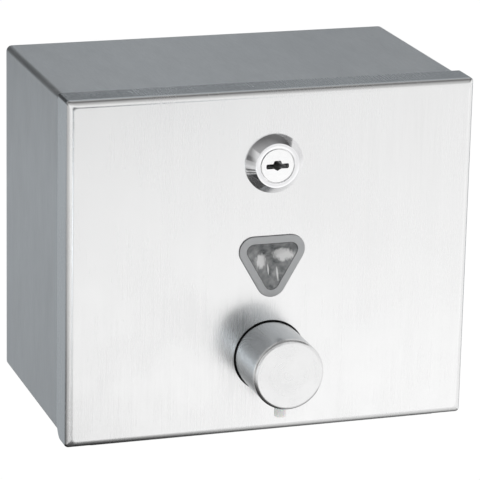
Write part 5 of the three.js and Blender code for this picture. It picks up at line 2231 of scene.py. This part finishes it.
@dataclass
class Studio:
    """The pale floor, the white surroundings, the soft lamps and the camera."""

    floor_z: float = -0.5
    floor_grey: float = 0.82
    floor_glow: float = 1.03
    floor_share: float = 0.95
    world_light: float = 0.72
    reach: float = 14.0
    eye: Colour = (-0.41202, -1.30717, 0.39110)
    right: Colour = (0.950643, -0.309560, 0.021224)
    up: Colour = (0.070069, 0.280806, 0.957203)
    forward: Colour = (0.302272, 0.908472, -0.288636)
    lens: float = 228.162
    sensor: float = 36.0
    far: float = 100.0

    def seen(self, surface: Wiring) -> Socket:
        """Tells whether the camera, a gloss or a clear piece looks at a surface.

        Args:
            surface: The nodes of the surface.

        Returns:
            1 where one of them does.
        """
        path = surface.node("ShaderNodeLightPath").outputs
        total = path[Ray.CAMERA.value]
        for kind in (Ray.GLOSSY, Ray.CLEAR):
            total = surface.math("MAXIMUM", total, path[kind.value])
        return total

    def surroundings(self) -> None:
        """Makes the world white where it is seen, and softer where it lights the object."""
        world = bpy.data.worlds.new("studio")
        bpy.context.scene.world = world
        world.use_nodes = True
        sky = Wiring(world.node_tree)
        background = sky.nodes["Background"]
        background.inputs["Color"].default_value = (1, 1, 1, 1)
        ends = {"Value": self.seen(sky), "To Min": self.world_light, "To Max": 1.0}
        strength = sky.node("ShaderNodeMapRange", ends).outputs["Result"]
        sky.links.new(strength, background.inputs["Strength"])

    def one_sided(self, shader: Shader, front: Socket) -> None:
        """Finishes a material that is clear from its back.

        Args:
            shader: The material.
            front: What it shows in front.
        """
        side = shader.node("ShaderNodeNewGeometry").outputs["Backfacing"]
        clear = shader.node("ShaderNodeBsdfTransparent").outputs[0]
        mixed = shader.node("ShaderNodeMixShader", {"Fac": side, 1: front, 2: clear}).outputs[0]
        shader.links.new(mixed, shader.nodes["Material Output"].inputs["Surface"])

    def floor(self) -> None:
        """Lays the floor, which keeps the object's shadow and can be looked through from below."""
        draft = Draft()
        span = self.reach / MM
        outline = rectangle(2 * span, 2 * span, span / 4)
        draft.cap(draft.ring(outline, Plane.TOP, self.floor_z / MM))
        piece = draft.close("floor")
        if piece.data.polygons[0].normal.z < 0:
            piece.data.flip_normals()
        shader = Shader("floor")
        shader.set(Base_Color=(*grey(self.floor_grey), 1), Roughness=0.7)
        light = {"Color": (1, 1, 1, 1), "Strength": self.floor_glow}
        glow = shader.node("ShaderNodeEmission", light).outputs[0]
        share = shader.math("MULTIPLY", self.seen(shader), self.floor_share)
        ends = {"Fac": share, 1: shader.surface.outputs[0], 2: glow}
        self.one_sided(shader, shader.node("ShaderNodeMixShader", ends).outputs[0])
        piece.data.materials.append(shader.material)

    def card(self, name: str, rows: Sequence[Sequence[Spot]], tint: Colour = (1, 1, 1)) -> None:
        """Hangs a card that only shiny surfaces see, from its front and not from its back.

        Args:
            name: The card's name.
            rows: Rows of as many points each, with a place in metres and a brightness.
            tint: The card's colour.
        """
        points = [point for row in rows for point in row]
        width = len(rows[0])
        faces = [
            (i * width + k, i * width + k + 1, (i + 1) * width + k + 1, (i + 1) * width + k)
            for i in range(len(rows) - 1)
            for k in range(width - 1)
        ]
        mesh = bpy.data.meshes.new(name)
        mesh.from_pydata([point[:3] for point in points], [], faces)
        if mesh.polygons[0].normal.dot(mesh.polygons[0].center) > 0:
            mesh.flip_normals()
        shades = mesh.color_attributes.new("shade", "FLOAT_COLOR", "POINT")
        for i, point in enumerate(points):
            shades.data[i].color = (*(point[3] * value for value in tint), 1)
        piece = put(name, mesh)
        shader = Shader(name)
        shader.nodes.remove(shader.surface)
        shade = shader.node("ShaderNodeAttribute", attribute_name="shade").outputs["Color"]
        self.one_sided(shader, shader.node("ShaderNodeEmission", {"Color": shade}).outputs[0])
        mesh.materials.append(shader.material)
        piece.visible_camera = False
        piece.visible_diffuse = False
        piece.visible_shadow = False
        piece.visible_transmission = False

    def cards(self) -> None:
        """Hangs the cards, which give the metal the dark and light bands of the photograph's room."""
        haze = (0.93, 1.0, 1.057)
        across = (-1.6, -0.40, -0.27, -0.14, 0.04, 0.10, 0.16, 0.24, 0.38, 1.6)
        back = (
            (-0.49, (0.12,) * len(across)),
            (-0.34, (0.28, 0.38, 0.40, 0.40, 0.34, 0.34, 0.34, 0.34, 0.34, 0.34)),
            (-0.10, (0.37, 0.46, 0.45, 0.42, 0.38, 0.36, 0.36, 0.36, 0.36, 0.36)),
            (0.06, (0.30, 0.16, 0.06, 0.12, 0.72, 0.72, 0.66, 0.48, 0.38, 0.36)),
            (0.175, (0.26, 0.08, 0.03, 0.06, 0.86, 0.86, 0.78, 0.50, 0.38, 0.36)),
            (0.19, (0.26, 0.08, 0.03, 0.04, 0.02, 0.02, 0.06, 0.16, 0.24, 0.30)),
            (0.285, (0.26, 0.08, 0.03, 0.04, 0.02, 0.02, 0.05, 0.10, 0.16, 0.20)),
            (0.30, (0.26, 0.12, 0.06, 0.08, 0.46, 0.48, 0.46, 0.38, 0.34, 0.32)),
            (0.42, (0.26, 0.18, 0.12, 0.12, 0.46, 0.48, 0.46, 0.38, 0.34, 0.32)),
            (0.60, (0.22, 0.22, 0.22, 0.22, 0.46, 0.48, 0.46, 0.42, 0.40, 0.36)),
            (0.95, (0.20, 0.20, 0.20, 0.20, 0.50, 0.50, 0.50, 0.50, 0.50, 0.40)),
        )
        rows = [[(x, 0.5, z, shade) for x, shade in zip(across, shades)] for z, shades in back]
        self.card("back_card", rows, haze)
        top = (
            (0.5, 0.50), (0.2, 0.42), (0.07, 0.18), (-0.17, 0.16), (-0.36, 0.45), (-1.06, 0.78), (-1.4, 0.90),
        )
        over = ((-1.6, 0.8), (-0.2, 0.8), (0.15, 1.0), (0.45, 1.0), (0.9, 0.55), (1.6, 0.5))
        self.card("top_card", [[(x, y, 0.9, shade * share) for x, share in over] for y, shade in top])
        under = (
            (-0.9, 1.0), (-0.5, 0.90), (-0.25, 0.72), (-0.12, 0.45), (-0.03, 0.20), (0.15, 0.08), (0.5, 0.08),
        )
        below = (
            (-1.3, 0.2), (-1.05, 0.2), (-1.0, 1.1), (-0.88, 1.1), (-0.85, 0.2), (-0.76, 0.2), (-0.75, 1.2),
            (-0.70, 1.2), (-0.68, 0.1), (0.04, 0.1), (0.16, 1.0), (0.6, 1.0),
        )
        self.card("under_card", [[(x, y, -0.49, shade * share) for x, share in below] for y, shade in under])
        left = (
            (0.95, 0.28, 0.28), (0.40, 0.28, 0.28), (0.30, 0.15, 0.15), (0.06, 0.18, 0.18),
            (0.02, 0.45, 0.45), (-0.18, 0.55, 0.55), (-0.24, 0.58, 0.70), (-0.38, 0.65, 0.75),
            (-0.41, 0.20, 0.75), (-0.495, 0.15, 0.75),
        )
        rows = []
        for z, rear, fore in left:
            depths = ((0.5, rear), (0.12, rear), (-0.10, (rear + fore) / 2), (-0.28, fore))
            depths += ((-0.42, max(fore, 0.72)), (-0.9, 0.9))
            rows.append([(-1.25, y, z, shade) for y, shade in depths])
        self.card("left_card", rows)
        level = (
            (-0.92, 1.31, 0.15), (-1.18, 1.31, 0.3), (-1.30, 1.25, 0.85), (-1.45, 1.18, 0.95),
            (-1.7, 1.06, 0.97), (-2.0, 0.93, 0.97), (-2.6, 0.90, 0.97),
        )
        sides = ((-1.8, 0.3), (-0.7, 0.3), (-0.45, 1.0), (-0.1, 1.0), (0.25, 0.0), (1.8, 0.0))
        rows = [
            [(x, y, -0.48, shade * (1 - (1 - low) * share)) for x, share in sides] for y, shade, low in level
        ]
        self.card("floor_card", rows)
        places = (-0.20, -0.155, -0.13, -0.07, 0.0, 0.10)
        upright = (
            ((-0.15, 0.8), (-0.14, 0.8), (-0.05, 0.4), (0.03, 0.15), (0.03, 0.12), (0.02, 0.8)),
            ((-0.115, 0.8), (-0.11, 0.8), (-0.02, 0.3), (0.05, 0.12), (0.045, 0.12), (0.035, 0.8)),
            ((-0.09, 5.0), (-0.08, 5.0), (0.0, 0.3), (0.06, 0.12), (0.055, 0.12), (0.045, 0.8)),
            ((-0.065, 0.2), (-0.05, 0.2), (0.03, 0.12), (0.08, 0.1), (0.065, 0.1), (0.055, 0.8)),
            ((0.0, 0.1), (0.02, 0.1), (0.06, 0.1), (0.10, 0.1), (0.08, 0.1), (0.065, 0.8)),
            ((0.05, 0.15), (0.09, 0.15), (0.12, 0.12), (0.15, 0.12), (0.12, 0.12), (0.09, 0.8)),
        )
        rows = [[(x, -0.45, z, shade) for x, (z, shade) in zip(places, row)] for row in upright]
        self.card("knob_card", rows, haze)

    def lamp(self, name: str, place: Colour, size: float, power: float) -> None:
        """Hangs a soft square lamp that faces the object.

        Args:
            name: The lamp's name.
            place: Where it hangs, in metres.
            size: The length of its side, in metres.
            power: Its power in watts.
        """
        light = bpy.data.lights.new(name, "AREA")
        light.shape = "SQUARE"
        light.size = size
        light.energy = power
        lamp = put(name, light)
        lamp.location = place
        lamp.rotation_euler = (-Vector(place)).to_track_quat("-Z", "Y").to_euler()
        lamp.visible_glossy = False

    def camera(self) -> None:
        """Sets up the camera at the photograph's angle."""
        data = bpy.data.cameras.new("portrait")
        data.lens = self.lens
        data.sensor_width = self.sensor
        data.clip_end = self.far
        camera = put("portrait", data)
        axes = (Vector(self.right), Vector(self.up), -Vector(self.forward))
        turn = Matrix(tuple(tuple(axis[row] for axis in axes) for row in range(3))).to_4x4()
        camera.matrix_world = Matrix.Translation(self.eye) @ turn
        bpy.context.scene.camera = camera

    def build(self) -> None:
        """Sets up the whole studio."""
        bpy.context.scene.view_settings.view_transform = "Standard"
        self.surroundings()
        self.floor()
        self.cards()
        self.lamp("key_lamp", (-1.1, -1.6, 1.9), 1.4, 26)
        self.lamp("fill_lamp", (1.8, -1.2, 0.9), 1.6, 12)
        self.camera()


def main() -> None:
    """Builds the studio and every sub-assembly in order."""
    logging.basicConfig(level=logging.INFO, format="%(name)s: %(message)s")
    Studio().build()
    log.info("studio and camera ready")
    finishes = Finishes()
    for kind in (Cabinet, Hinge, FrontPanel, CamLock, SightWindow, PushValve, Tank, Cradle):
        kind(finishes).build()
        log.info("%s ready", kind.__name__)


if __name__ == "__main__":
    main()
